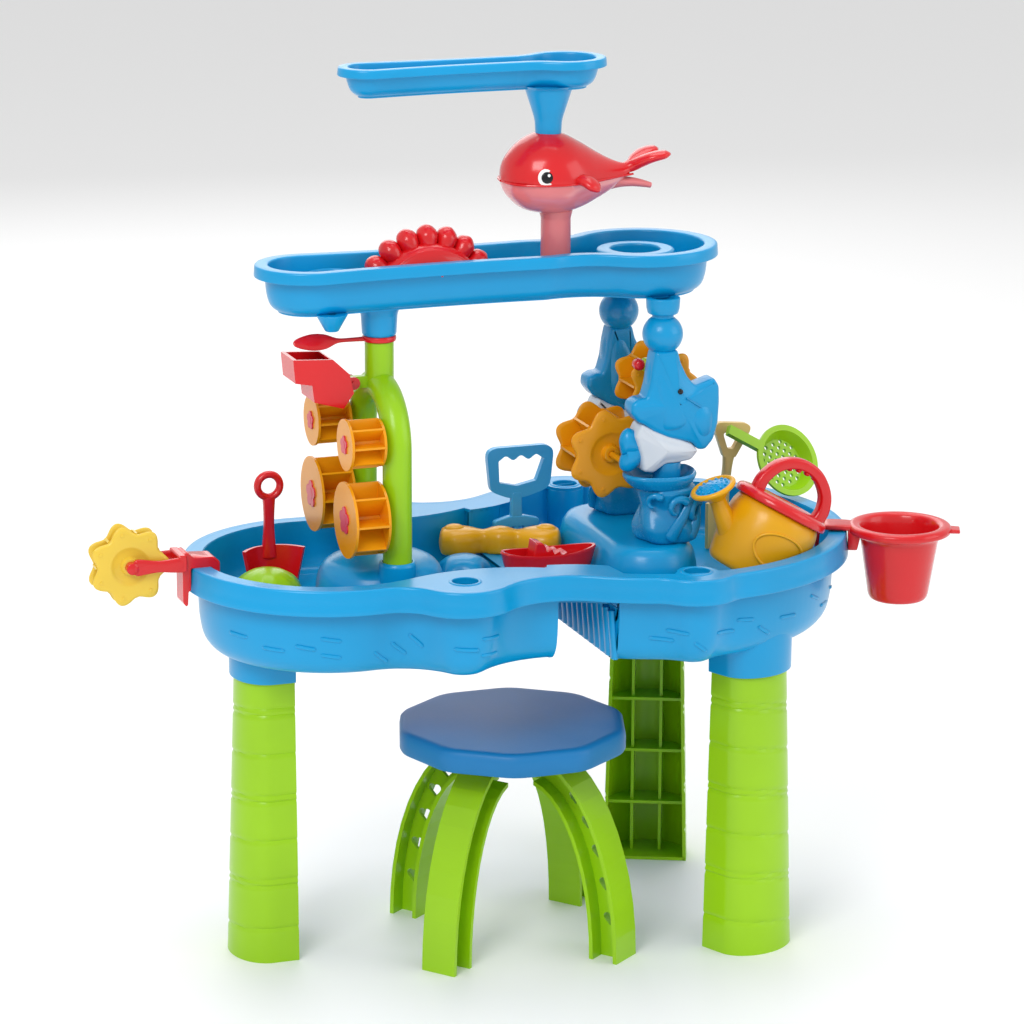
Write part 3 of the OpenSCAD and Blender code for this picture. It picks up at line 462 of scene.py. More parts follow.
# Least |y| where the outline crosses a line of constant x
def widest(loop, x):
    a, b = loop, np.roll(loop, -1, 0)
    hit = (a[:, 0] - x) * (b[:, 0] - x) <= 0
    a, b = a[hit], b[hit]
    t = (x - a[:, 0]) / np.where(b[:, 0] == a[:, 0], 1e-9, b[:, 0] - a[:, 0])
    return float(np.abs(a[:, 1] + (b[:, 1] - a[:, 1]) * t).min())


holeS = (bumpS[0], bumpS[1] + bumpS[2] - 40)
holeL = (bumpL[0], bumpL[1] + bumpL[2] - 34)


# One tub: lip, outer wall, inner wall, floor, ledge and tool holes; side -1 is the small tub
def tubShape(side):
    b = basin
    gap0, gap1 = b["gap"]
    endX = gap0 if side < 0 else gap1
    top, floor = b["top"], b["floor"]
    lip = soften([(0, top), (1.0, top - 14), (2.2, top - 20), (2.0, top - 23.5), (-1.5, top - 23.5),
                  (-2.6, top - 6), (-8, top - 3), (-8, top)], [2.2, 4, 3, 1, 1, 3, 1, 1])
    lipPart = band(rim, rimFillets, lip, b["seam"], side, 300)
    wall = soften([(-13.5, top - 2), (-12.5, 352), (-13.5, 326), (-17, 308), (-26, 298), (-36, 297),
                   (-36, 300), (-28, 301.5), (-20, 311), (-17, 327), (-16, 352), (-17, top - 2)],
                   [1, 8, 8, 7, 5, 1, 1, 4, 6, 8, 6, 1])
    wallPart = band(rim, rimFillets, wall, endX, side, 300)
    inner = soften([(-17, top), (-17.5, 360), (-19, 345), (-23, 337), (-34, 334), (-34, 331),
        (-24, 332.5),
                    (-16, 340), (-14, 360), (-14, top - 3)], [2, 6, 6, 6, 3, 1, 3, 5, 6, 1])
    innerPart = band(cavity, cavityFillets, inner, endX, side, 200)
    floorLoop = portion(outline(cavity, cavityFillets, -30), endX, side, 160)
    floorPart = plate(floorLoop, [], floor - 3, floor + 0.1)
    rimLine = portion(outline(rim, rimFillets, -4), b["seam"], side, 300)
    cave = outline(cavity, cavityFillets, -16.5)
    caveLine = portion(cave, b["seam"], side, 200)
    waist = outline(rim, rimFillets, -b["waist"])
    near = (caveLine[:, 0] > gap0 - 3) & (caveLine[:, 0] < gap1 + 3)
    limit = np.array([widest(waist, x) for x in caveLine[near, 0]])
    caveLine[near, 1] = np.sign(caveLine[near, 1]) * np.minimum(np.abs(caveLine[near, 1]), limit)
    hole = holeS if side < 0 else holeL
    across = b["boss"] ** 2 - (caveLine[:, 0] - hole[0]) ** 2
    beside = across > 0
    clear = hole[1] - np.sqrt(across[beside])
    caveLine[beside, 1] = np.sign(caveLine[beside, 1]) * np.minimum(np.abs(caveLine[beside, 1]), clear)
    holes = [circle(b["holeR"], 40, hole[0], s * hole[1]) for s in (-1, 1)]
    ledge = plate(np.vstack([rimLine, caveLine[::-1]]), holes, top - 3, top - 0.05)
    sleeve = soften([(12, 340), (b["boss"], 340), (b["boss"], 380), (12, 381)], 0.8)
    sleeves = [put(turned(sleeve, closed=True), (hole[0], s * hole[1], 0)) for s in (-1, 1)]
    beads = [put(turned(soften([(12, 383.8), (12, 381), (15.5, 381), (15.5, 383), (14, 383.8)], 0.8),
        closed=True),
                 (hole[0], s * hole[1], 0)) for s in (-1, 1)]
    return [lipPart, wallPart, innerPart, floorPart, ledge, *sleeves, *beads]


# The channel between the tubs, its floor, sides and the tubs' end walls
def channel(side):
    b = basin
    gap0, gap1 = b["gap"]
    x0, x1 = (gap0 - 3, b["seam"] - 0.15) if side < 0 else (b["seam"] + 0.15, gap1 + 3)
    waist = outline(rim, rimFillets, -b["waist"])
    xs = np.linspace(x0, x1, 16)
    ys = np.array([widest(waist, x) for x in xs])
    floorLoop = np.vstack([np.column_stack([xs, -ys]), np.column_stack([xs[::-1], ys[::-1]])])
    parts = [plate(floorLoop, [], b["bridge"] - 3, b["bridge"])]
    for s in (-1, 1):
        rows = []
        for x, y in zip(xs, ys):
            rows.append([(x, s * y, b["bridge"] - 3), (x, s * (y + 3), b["bridge"] - 3),
                         (x, s * (y + 3), b["top"] - 2), (x, s * y, b["top"] - 2)])
        parts.append(skin(rows))
    endX = gap0 - 3 if side < 0 else gap1
    outer = outline(rim, rimFillets, -17)
    w = widest(outer, endX + 1.5)
    low = soften([(-w + 9, b["skirt"]), (w - 9, b["skirt"]), (w, b["skirt"] + 12),
        (w, b["bridge"] - 1.2), (-w, b["bridge"] - 1.2),
                  (-w, b["skirt"] + 12)], [6, 6, 6, 1, 1, 6])
    rows = [np.column_stack([np.full(len(low), x), low]) for x in (endX, endX + 3)]
    parts.append(skin(rows))
    ym = widest(waist, endX + 1.5)
    for s in (-1, 1):
        a, c = sorted((s * ym, s * w))
        parts.append(block(endX, endX + 3, a, c, b["bridge"] - 0.5, b["top"] - 3))
    if side > 0:
        for k in range(12):
            y = -w + 7 + k * 14
            rows = [(endX - 0.5 - 1.5 * math.sin(t), y + 6 * (1 - math.cos(t)), 298 + 32 * t, 5.6, 3.2)
                for t in np.linspace(0, 1.5, 7)]
            parts.append(swept(rows, 20, up=(1, 0, 0), around=14, ends=(2, 2)))
    return parts


# Raised dashes that run round the outer wall
def dashes(side, rows):
    parts = []
    base = portion(outline(rim, rimFillets, -12.4), basin["gap"][0] if side < 0 else basin["gap"][1],
        side, 600)
    steps = np.linalg.norm(np.diff(base, axis=0), axis=1)
    run = np.concatenate([[0], np.cumsum(steps)])
    for share, length, z, tilt in rows:
        at = share * run[-1] + np.linspace(-length / 2, length / 2, 12)
        flat = np.stack([np.interp(at, run, base[:, k]) for k in range(2)], 1)
        zs = z + np.linspace(-tilt / 2, tilt / 2, 12)
        inset = np.interp(zs, [300, 308, 326, 352], [-12, -4.5, -1, 0])
        along = unit(np.gradient(flat, axis=0))
        out = np.stack([along[:, 1], -along[:, 0]], 1)
        flat = flat + out * inset[:, None]
        line = np.column_stack([flat, zs, np.full(12, 1.3), np.full(12, 1.9)])
        parts.append(swept(line, 12, up=(0, 0, 1), around=8, ends=(2.5, 2.5), plain=True))
    return parts


# D-shaped outline: straight sides to 0.45 of the depth, then a half ellipse
def dLoop(w, d, off, count=41):
    straight = d * 0.45
    a = np.linspace(0, math.pi, count)
    curve = np.stack([(w / 2 + off) * np.cos(a), straight + (d - straight + off) * np.sin(a)], 1)
    return np.vstack([[[w / 2 + off, 0]], [[w / 2 + off, straight / 2]], curve,
                      [[-w / 2 - off, straight / 2]], [[-w / 2 - off, 0]]])


leg = {"w": 84.0, "d": 56.0, "taper": 0.84, "top": 272.0,
    "places": [(-227, 0, 90), (184, -114, 204), (184, 114, -24)]}


# Ring round the top of a leg, off millimetres outside the leg's D
def socket(place):
    w, d = leg["w"] * leg["taper"], leg["d"] * leg["taper"]
    loops = []
    for off, z in soften([(0.4, 273), (1.5, 272), (4.2, 272), (4.4, 300), (4.2, 332), (0.4, 332)], 1.0):
        loops.append(level(dLoop(w, d, off), z))
    ring = skin(loops, closed=True)
    return put(ring, (place[0], place[1], 0), ("z", place[2]))


for side, name, rows in (
    (-1, "basin_left", [(0.10, 26, 318, 2), (0.135, 26, 326, 2), (0.10, 26, 334, 2),
    (0.20, 14, 330, 12), (0.22, 14, 322, 12),
                        (0.24, 14, 314, 12), (0.30, 20, 318, 3), (0.33, 20, 326, 3), (0.30, 20, 334, 3),
                        (0.37, 24, 322, 1),
                        (0.42, 24, 330, 1)]),
    (1, "basin_right", [(0.95, 24, 322, 2), (0.93, 24, 330, 2), (0.90, 14, 316, 10), (0.86, 24, 326, 2),
    (0.83, 20, 334, 2),
                        (0.80, 16, 320, 10), (0.76, 24, 328, 2), (0.70, 18, 336, 8), (0.66, 24, 322, 2),
                        (0.62, 18, 330, 4)]),
):
    mirrored = [(1 - r[0], r[1], r[2], -r[3]) for r in rows]
    parts = tubShape(side) + channel(side) + dashes(side, rows + mirrored)
    parts += [socket(p) for p in (leg["places"][:1] if side < 0 else leg["places"][1:])]
    tub = piece("tub" + ("Left" if side < 0 else "Right"), "table", blue, parts)
    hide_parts(name)
print("basin made")


# Legs: a shell with wrapped grooves, open towards the middle, with ribs inside
def legShape(place, tilt):
    z = np.linspace(0, leg["top"] + 40, 150)
    s = 1 - (1 - leg["taper"]) * np.minimum(z, leg["top"]) / leg["top"]
    loopA = dLoop(1.0, leg["d"] / leg["w"], 0)
    outer = loopA[None] * (leg["w"] * s)[:, None, None]
    x = outer[:, :, 0] / (leg["w"] / 2)
    depth = np.zeros(x.shape)
    for k, zk in enumerate([26, 68, 74, 112, 150, 156, 196, 234, 240]):
        wave = zk + tilt * 7 * x + 3 * (1 - x**2)
        depth += 1.5 * np.exp(-(((z[:, None] - wave) / 1.6) ** 2))
    depth = depth * (z[:, None] < leg["top"] - 3) + 0.4 * (z[:, None] > leg["top"])
    middle = np.array([0, leg["d"] * 0.3])
    toward = unit(middle - outer)
    toward[:, :, 1] = np.where(outer[:, :, 1] < leg["d"] * 0.4, 0, toward[:, :, 1])
    toward = unit(toward)
    out = outer + toward * depth[:, :, None]
    inn = outer + toward * 3.4
    inn[:, 0, 1] = inn[:, -1, 1] = 0
    loops = np.concatenate([out, inn[:, ::-1]], 1)
    zs = np.broadcast_to(z[:, None, None], (*loops.shape[:2], 1))
    parts = [skin(np.concatenate([loops, zs], -1))]
    inside0 = dLoop(leg["w"] - 2, leg["d"] - 1, 0)
    parts.append(skin([level(inside0, 0.2), level(inside0, 3.4)]))
    for zk in (54, 109, 163, 218):
        s1 = 1 - (1 - leg["taper"]) * zk / leg["top"]
        loop = dLoop(leg["w"] * s1 - 3, leg["d"] * s1 - 2, 0)
        loop[:, 1] = np.maximum(loop[:, 1], leg["d"] * 0.34 - 6 * np.cos(loop[:, 0] / 30))
        parts.append(skin([level(loop, zk), level(loop, zk + 3)]))
    for sx in (-1, 1):
        parts.append(block(sx * 14 - 1.5, sx * 14 + 1.5, leg["d"] * 0.4, leg["d"] * 0.78, 3, leg["top"]))
    return [put(p, (place[0], place[1], 0), ("z", place[2])) for p in parts]


for name, place, tilt in zip(("leg_left", "leg_front", "leg_back"), leg["places"], (-1, 1, 1)):
    made = piece("shaped" + name.title().replace("_", ""), "table", green, legShape(place, tilt))
    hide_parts(name)
print("legs made")

# Stool seat: ten softened sides, hollow beneath; its darker blue is painted shade for the table's shadow
# on the seat
seat = {"x": -14.0, "y": -39.0, "r": 112.0, "h": 214.0}
turnBy = np.arange(10) * tau / 10
corners = np.stack([np.cos(turnBy), np.sin(turnBy)], 1) * seat["r"]
seatLoop = soften(corners, 13, 6)
seatRows = [(0.95, seat["h"] - 6), (0.95, seat["h"] - 20), (0.955, seat["h"] - 22),
    (0.985, seat["h"] - 22),
            (1.0, seat["h"] - 19), (1.0, seat["h"] - 8), (0.992, seat["h"] - 3), (0.972, seat["h"] - 0.8),
            (0.94, seat["h"]), (0.90, seat["h"] - 0.4), (0.3, seat["h"] - 0.8)]
parts = [skin([level(seatLoop * s, z) for s, z in seatRows])]
for k in range(10):
    parts.append(put(block(22, 103, -1.5, 1.5, seat["h"] - 14, seat["h"] - 5), (0, 0, 0), ("z", k * 36)))
parts.append(turned([(20, seat["h"] - 22), (24, seat["h"] - 22), (24, seat["h"] - 5),
    (20, seat["h"] - 5)], closed=True))
made = piece("shapedSeat", "stool", shadedSeatBlue, [put(p, (seat["x"], seat["y"], 0)) for p in parts])
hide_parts("stool_seat")
print("stool made")

# Towers' feet
tower = {"x": -132.0, "arch": 52.0}
parts = [put(turned(soften([(0, 331), (60, 334), (61, 345), (59, 361), (52, 372), (38, 377.5),
    (14, 380), (0, 380.5)],
                           [1, 2, 5, 8, 8, 8, 8, 1], closed=False)), (tower["x"], 0, 0))]
for s in (-1, 1):
    collar = turned(soften([(13.9, 346), (17.5, 346), (17.5, 381), (16, 384), (13.9, 384)], 1),
        closed=True)
    parts.append(put(collar, (tower["x"], s * tower["arch"], 0)))
    parts.append(ring([(13.9, 334), (26, 334), (25, 348), (17, 366), (13.9, 366)], 2,
        (tower["x"], s * tower["arch"], 0)))
made = piece("domeFoot", "table", blue, parts)
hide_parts("left_pedestal")


# Two half circles of radius r, their centres half a length either side of y = 0
def capsule(x, half, r, step=6):
    a = np.radians(np.arange(0, 181, step))
    top = np.stack([x + r * np.cos(a), half + r * np.sin(a)], 1)
    low = np.stack([x - r * np.cos(a), -half - r * np.sin(a)], 1)
    return np.vstack([top, low])


rows = [(46, 334), (46, 345), (45, 362), (42, 375), (37, 382), (32, 384), (28, 384)]
parts = [skin([level(capsule(116, 56, r), z) for r, z in rows])]
made = piece("longFoot", "table", blue, parts)
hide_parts("right_pedestal")
print("feet made")

# Middle tray
trayCircles = [(-199, 0, 50), (20, 0, 46), (126, 0, 72), (20, 0, 46)]
trayFillets = [1200, 60, 60, 1200]


# Tray rim and wall that follow an outline, with a floor depth below the top
def trayShape(circles, fillets, top, lip, depth, inset, hole=None):
    under = top - depth - 3
    profile = soften([(0, top), (0.8, top - lip), (-2.2, top - lip), (-2.6, top - 3.5),
        (-inset + 0.4, top - 4.5),
                      (-inset - 1.5, under + 16), (-inset - 5, under + 5), (-inset - 14, under),
                      (-inset - 14, under + 3), (-inset - 8, under + 6), (-inset - 4.5, under + 17),
                      (-inset - 3.4, top)],
                     [1.8, 1, 1, 1.5, 2, 6, 5, 2, 1, 5, 6, 1.8])
    shell = band(circles, fillets, profile)
    flat = outline(circles, fillets, -inset - 12)
    return [shell, plate(flat, [hole] if hole is not None else [], under, under + 3)]


parts = trayShape(trayCircles, trayFillets, 658, 11, 41, 9)
parts.append(ring([(12, 588), (13.5, 586), (16, 588), (17, 606), (20, 616), (12, 616)], 2,
    (tower["x"], 0, 0)))
for s in (-1, 1):
    parts.append(ring([(10.2, 600.5), (14, 600.5), (15.5, 606), (16, 616), (10.2, 616)], 1.5,
        (127.0, s * 56.0, 0)))
for x, r, w, h in ((-177, 25, 3, 646), (121, 37, 14, 651)):
    parts.append(ring([(r - w, 616), (r, 616), (r, h), (r - 2, h + 1.5), (r - w + 1, h + 1.5),
        (r - w, h)], 1.5, (x, 0, 0)))
parts.append(ring([(14.4, 616), (19, 616), (17, 629), (14.4, 629)], 1, (41, 0, 0)))
spout = turned(soften([(4, 600), (6, 600), (15, 616), (4, 616)], 1), closed=True)
parts.append(put(spout, (-187, -30, 0)))
made = piece("shapedMiddleTray", "table", blue, parts)
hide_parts("middle_tray")

# Top tray and funnel
topCircles = [(-141, 0, 28), (-3, 0, 23), (49, 0, 38), (-3, 0, 23)]
topFillets = [900, 40, 40, 900]
parts = trayShape(topCircles, topFillets, 836, 8, 25, 6, circle(19.5, 40, 33, 0))
funnel = soften([(9, 763), (12, 763), (12.6, 778), (22.5, 809), (27, 811), (19.5, 811), (9.6, 779)],
    [1, 1, 5, 5, 1, 3, 5])
parts.append(put(turned(funnel, closed=True), (33, 0, 0)))
made = piece("shapedTopTray", "top_tray", blue, parts)
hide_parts("top_tray")
print("trays made")

# Whale: one lofted body, cut at its split line
whale = {"x": 40.0, "z": 721.0}
whaleRows = [(-53, 4, 1), (-50, 5, 14), (-44, 5, 24), (-32, 5, 35), (-14, 6, 41.5), (4, 5, 41),
    (22, 3, 34),
             (38, 2, 25), (52, 2, 17), (64, 4, 10), (72, 7, 6), (76, 9, 4)]


# Rings along x: y = r cos(a), z = mid + r sin(a), flatter beneath, cut between low and high
def whaleBody(low, high, shrink):
    rows = smooth(np.array(whaleRows, float), 60)
    a = np.arange(56) * tau / 56
    x = whale["x"] + rows[:, 0]
    r = np.maximum(rows[:, 2] - shrink, 0.3)
    y = r[:, None] * np.cos(a)
    z = whale["z"] + rows[:, 1][:, None] + r[:, None] * np.sin(a) * np.where(np.sin(a) < 0, 0.86, 0.98)
    z = np.clip(z, low, high)
    return skin(np.stack([np.broadcast_to(x[:, None], y.shape), y, z], -1))


split = 722.5
hole = turned(soften([(12.2, 757), (15.5, 757), (15, 763.5), (12.6, 763.5)], 1), closed=True)
parts = [whaleBody(split, 900, 0), put(hole, (33, 0, 0))]
seamX = whale["x"] + np.array([76, 60, 40, 20, 0, -20, -40, -50, -53])
seamY = np.array([-4, -12, -24.5, -35.5, -41.5, -40, -31, -17, -2])
for s in (1, -1):
    seam = [(x, s * y, split + 0.9, 1.1) for x, y in zip(seamX, seamY)]
    parts.append(swept(seam, 60, up=(0, 0, 1), around=8))
for s in (-1, 1):
    fluke = [(-6, 0, -2, 5, 5), (4, 2 * s, 1, 6, 5.5), (13, 7 * s, 6, 9, 5.5), (22, 12 * s, 10, 10, 5),
        (31, 15 * s, 12, 8.5, 4.2),
             (37, 16 * s, 12.5, 4.5, 2.6)]
    parts.append(put(swept(fluke, 36, up=(0, 0, 1), around=28, ends=(3, 7)),
        (whale["x"] + 72, 0, whale["z"] + 9)))
    fin = [(-2, -2 * s, 2, 7, 5), (4, 5 * s, 1, 9, 5.5), (9, 11 * s, -3, 9.5, 5),
        (13, 15 * s, -8, 6, 3.5)]
    parts.append(put(swept(fin, 30, up=(0, 0, 1), around=24, ends=(2, 7)),
        (whale["x"] + 12, 35 * s, whale["z"] + 4)))
made = piece("whaleTop", "table", red, parts)
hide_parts("whale_shell")
parts = [whaleBody(680, split - 0.3, 0.6)]
parts.append(swept([(92, 0, 717, 8, 9), (104, 0, 716.5, 5.5, 7), (116, 0, 715.5, 4.4, 5.4),
    (126, 0, 713.6, 3.6, 4.4),
                    (136, 0, 711, 2.6, 3.4)], 30, up=(0, 1, 0), around=28, ends=(2, 1)))
made = piece("whaleUnder", "table", pink, parts)
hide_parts("whale_belly")


# Point on the whale's side: the ring's y at height dz is r cos(asin(dz / r)), and its tilt
def onWhale(dx, dz, s):
    row = [np.interp(dx, [r[0] for r in whaleRows], [r[k] for r in whaleRows]) for k in (1, 2)]
    h = (dz - row[0]) / (row[1] * 0.98)
    tilt = math.degrees(math.asin(h))
    y = row[1] * math.cos(math.asin(h))
    return (whale["x"] + dx, s * y, whale["z"] + dz), tilt


for s in (-1, 1):
    place, tilt = onWhale(-22, 10, s)
    swing = ("z", s * 14)
    lens = turned([(0, -2.6), (8.6, -2.6), (8.4, -0.3), (7.0, 0.5), (0, 0.9)], count=40)
    made = piece("eyeWhite" + "LR"[s > 0], "table", white,
        [put(lens, place, ("x", -s * (90 - tilt)), swing)])
    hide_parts("whale_eyes")
    pupil = turned([(0, 0.2), (5.6, 0.2), (5.2, 1.1), (3.4, 1.7), (0, 1.9)], count=36)
    piece("eyePupil" + "LR"[s > 0], "table", black, [put(pupil, place, ("x", -s * (90 - tilt)), swing)])
    glint = turned([(0, 0), (1.5, 0), (1.2, 0.6), (0, 0.8)], count=20)
    mark = put(glint, (1.6, 2.0 * -s, 1.6))
    piece("eyeGlint" + "LR"[s > 0], "table", white, [put(mark, place, ("x", -s * (90 - tilt)), swing)])
stemRows = soften([(11, 617.5), (14, 617.5), (14, 686), (16, 694), (11, 694)], 1.5)
made = piece("whaleStalk", "table", pink, [put(turned(stemRows, closed=True), (41, 0, 0))])
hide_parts("whale_stem")
print("whale made")

# Figures: rounded half shells that face outwards, either side of the star wheels
figures = {"x": 127.0, "y": 56.0, "ball": 581.0, "ballR": 19}
ball = figures["ball"]
figureLoop = np.array([(-11, -14), (11, -14), (14, -26), (21, -40), (29, -49), (39, -46), (48, -43),
    (53, -51), (53.5, -66),
                       (52.5, -86), (48, -102), (40, -111), (33, -111), (27, -104), (14, -100),
                       (2, -97), (-12, -90), (-20, -84),
                       (-28, -80), (-35, -71), (-34, -62), (-27, -58), (-20, -58), (-16, -44),
                       (-14, -28)])
belt = np.array([(-24, -82), (-12, -89), (4, -96), (16, -100), (27, -105), (33, -112), (26, -120),
    (12, -122), (0, -122), (-12, -130),
                 (-22, -128), (-24, -112), (-30, -94)])


# A pillow stood in the XZ plane, its face turned outwards
def standing(loop, s, y0, thick, inset, dome, steps=3, round0=2.5):
    points, faces = pillow(soften(loop, round0, steps), thick, inset, 5, dome)
    return np.column_stack([figures["x"] + points[:, 0], s * (y0 + points[:, 2]),
        ball + points[:, 1]]), faces


# Ball, peg, pillow body, swept neck and cheek, and a two-lobed tail
def figure(s):
    c, y, r = figures["x"], s * figures["y"], figures["ballR"]
    sphere = [(0, -r)] + [(r * math.cos(t), r * math.sin(t))
        for t in np.linspace(-1.4, 1.4, 24)] + [(0, r)]
    parts = [put(turned(sphere, count=48), (c, y, ball))]
    post = soften([(0, ball - 22), (7, ball - 20), (9.5, ball - 10), (10, ball + 5), (10, ball + 30),
        (0, ball + 30)], 2, closed=False)
    parts.append(put(turned(post), (c, y, 0)))
    parts.append(standing(figureLoop, s, 58, 24, 4.5, 5.0))
    neck = [(0, -12, 9, 9), (-1, -22, 11, 11), (-2, -36, 14.5, 14), (1, -52, 18, 16),
        (6, -68, 22, 17.5), (10, -84, 20, 16.5), (12, -94, 12, 12)]
    parts.append(swept([(c + x, s * 58, ball + z, a, h) for x, z, a, h in neck], 44, around=36,
        power=2.2, ends=(4, 9)))
    cheek = [(26, -62, 12, 12), (32, -76, 17, 17), (36, -90, 14, 16), (40, -103, 7, 11)]
    parts.append(swept([(c + x, s * 58, ball + z, a, h) for x, z, a, h in cheek], 30, around=32,
        power=2.2, ends=(9, 7)))
    for dx, dz, reach in ((-36, -100, 13), (-35, -117, 13)):
        tail = [(-16, -104, 8, 8), (-25, (dz - 108) / 2, 9.5, 8.5), (dx, dz, reach, 8),
            (dx - 6, dz + 1, reach * 0.7, 6)]
        parts.append(swept([(c + x, y, ball + z, a, h) for x, z, a, h in tail], 26, around=26,
            ends=(5, 7)))
    return parts


for s, name in ((-1, "front"), (1, "back")):
    made = piece("figure" + name.title(), "table", blue if s < 0 else deepBlue, figure(s), sharp=60)
    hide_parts("dolphin_" + name)
    made = piece("figureBelly" + name.title(), "table", grey, [standing(belt, s, 56.5, 26, 4, 4.5)],
        sharp=60)
    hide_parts("belly_" + name)
    dot = put(turned([(0, -2.5), (2.7, -2.5), (2.5, 0.5), (1.6, 1.2), (0, 1.4)], count=28),
        (127 + 11, s * 75.2, ball - 52), ("x", -s * 90))
    piece("figureEye" + name.title(), "table", black, [dot])
    smile = [(127 + 17 + t * 15, s * (75.0 - 0.6 * t), ball - 58.5 - 10 * t, 1.0)
        for t in np.linspace(0, 1, 7)]
    piece("figureSmile" + name.title(), "table", deepBlue, [swept(smile, 24, around=8, ends=(1, 1))])
hubs = [("hubRed", red, (112.5, -34, 548), 5.6), ("hubLime", plastic("limePlastic", "c3d61e"),
    (120.5, -33, 547), 6.4)]
for name, material, place, r in hubs:
    cap = turned(soften([(0, -5), (r, -5), (r, 2), (r * 0.7, 4.5), (0, 5)], 1.5, closed=False), count=36)
    piece(name, "table", material, [put(cap, place, ("x", 90))])
print("figures made")


# start + (value - start) * share for what lies past the start
def squeeze(value, start, share):
    return np.where(value > start, start + (value - start) * share, value)


waves = {"x": 133.0, "y": 56.0, "outer": (80, 0.6), "inner": (40, 0.53), "right": (158, 0.5), "curl": 412}


# Curled column, wavy dish and stub, squeezed where they would pass a wheel or the can
def waveStand(s):
    w = waves
    cx, cy = w["x"], s * w["y"]

    # Rim wave: 0.05 sin(4a), growing over 16 mm above z 430
    def dish(z, a):
        return 0.05 * np.sin(4 * a + 0.6) * np.clip((z - 430) / 16, 0, 1)

    # Twisted flutes: 0.07 sin(5a + 0.1 z), fading towards the top
    def curls(z, a):
        return 0.07 * np.sin(5 * a + (z - 384) * 0.10) * np.clip((446 - z) / 30, 0, 1)

    column = [(0, 384), (25, 384), (29, 388), (31, 398), (28, 408), (25, 418), (27, 428), (29, 433),
        (26, 437), (18, 440), (0, 441)]
    parts = [turned(soften(column, 3, 5, closed=False), count=80, wave=curls)]
    bowl = soften([(13, 431), (20, 433), (28, 437), (34, 443), (36.5, 448), (34, 451), (30, 446),
        (25, 441), (19, 439), (13, 438)], 2, 4)
    parts.append(put(turned(bowl, closed=True, count=96, wave=dish), (-7, 0, 0)))
    parts.append(turned(soften([(0, 432), (13, 432), (13, 459), (0, 459)], 1, 3, closed=False), count=40))
    for k, size in enumerate((1.0, 0.82, 0.66)):
        a = s * (math.pi / 2) + (0.75 - k * 0.75)
        c, n = math.cos(a), math.sin(a)
        away = 30 + 3 * k % 4
        rows = []
        for t in np.linspace(0, 4.3, 18):
            r = (15 - 2.6 * t) * size
            over, rise = r * math.cos(t + 0.4), r * math.sin(t + 0.4)
            rows.append((away * c - over * n, away * n + over * c, w["curl"] + 6 * k + rise,
                         (5.4 - 0.8 * t) * size, (7 - 1.0 * t) * size))
        parts.append(swept(rows, 60, up=(c, n, 0), around=18, ends=(4, 3)))
        rows = []
        for t in np.linspace(0, 1, 9):
            q, r, thin = a + 0.5 + 0.9 * t, 27 + 4 * math.sin(t * 2.6), 1 - 0.6 * t
            rows.append((r * math.cos(q), r * math.sin(q), 388 + 46 * t, 6 * thin, 7 * thin))
        parts.append(swept(rows, 30, up=(0.1, 0.1, 1), around=16, ends=(4, 4)))
    placed = []
    for points, faces in parts:
        points = points + np.array([cx, cy, 0])
        across = squeeze(s * points[:, 1], *w["outer"])
        points[:, 0] = squeeze(points[:, 0], *w["right"])
        points[:, 1] = s * -squeeze(-across, -w["inner"][0], w["inner"][1])
        placed.append((points, faces))
    return placed


for s, name in ((-1, "front"), (1, "back")):
    made = piece("waves" + name.title(), "table", deepBlue, waveStand(s), sharp=70)
    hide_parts("wave_" + name)
print("waves made")


# Star wheels: two lobed faces with a sunk middle, joined by vanes; built along z, then laid along Y
def starWheel(r, half, lobes=7, deep=0.1):
    profile = soften([(3.2, half + 2), (7.5, half + 2), (8.5, half - 4), (0.40 * r, half - 2),
        (0.48 * r, half),
                      (0.9 * r, half), (r, half - 1.4), (r, half - 3.0), (0.9 * r, half - 4.2),
                      (0.45 * r, half - 4.5),
                      (7.5, half - 8), (7.5, 8 - half), (0.45 * r, 4.5 - half), (0.9 * r, 4.2 - half),
                      (r, 3.0 - half),
                      (r, 1.4 - half), (0.9 * r, -half), (0.48 * r, -half), (0.40 * r, 2 - half),
                      (8.5, 4 - half),
                      (7.5, -half - 2), (3.2, -half - 2)], 1.0, 3)
    a = np.arange(112) * tau / 112
    rho = profile[:, :1]
    share = np.clip((rho - 0.5 * r) / (0.5 * r), 0, 1)
    out = rho * (1 + share * deep * (np.cos(lobes * a)[None] - 1))
    z = profile[:, 1:2] * np.ones((1, 112))
    parts = [skin(np.stack([out * np.cos(a), out * np.sin(a), z], -1), closed=True)]
    for k in range(lobes):
        vane = block(7, r * (1 - 2 * deep) + 1, -1.2, 1.2, 3.5 - half, half - 3.5)
        parts.append(put(vane, (0, 0, 0), ("z", (k + 0.5) * 360 / lobes)))
        for s in (-1, 1):
            dot = turned([(0, -0.8), (1.9, -0.8), (1.7, 0.6), (0, 0.9)], count=16)
            a0 = k * tau / lobes
            spot = put(dot, (0.8 * r * math.cos(a0), 0.8 * r * math.sin(a0), half)) if s > 0 else put(
                dot, (0.8 * r * math.cos(a0), 0.8 * r * math.sin(a0), -half), ("x", 180))
            parts.append(spot)
    return parts


for name, body, node, place, r, half, material in (
    ("starLarge", "large_star", "large_star_wheel", (90, 0, 461), 43, 23, orange),
    ("starSmall", "small_star", "small_star_wheel", (143, 0, 523), 36, 23, orange),
    ("starClip", "clip_wheel", "clamp_wheel", (-375, 0, 389), 38, 10, paleYellow),
):
    made = piece(name, body, material, [put(p, place, ("x", 90)) for p in starWheel(r, half)])
    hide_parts(node)
print("star wheels made")


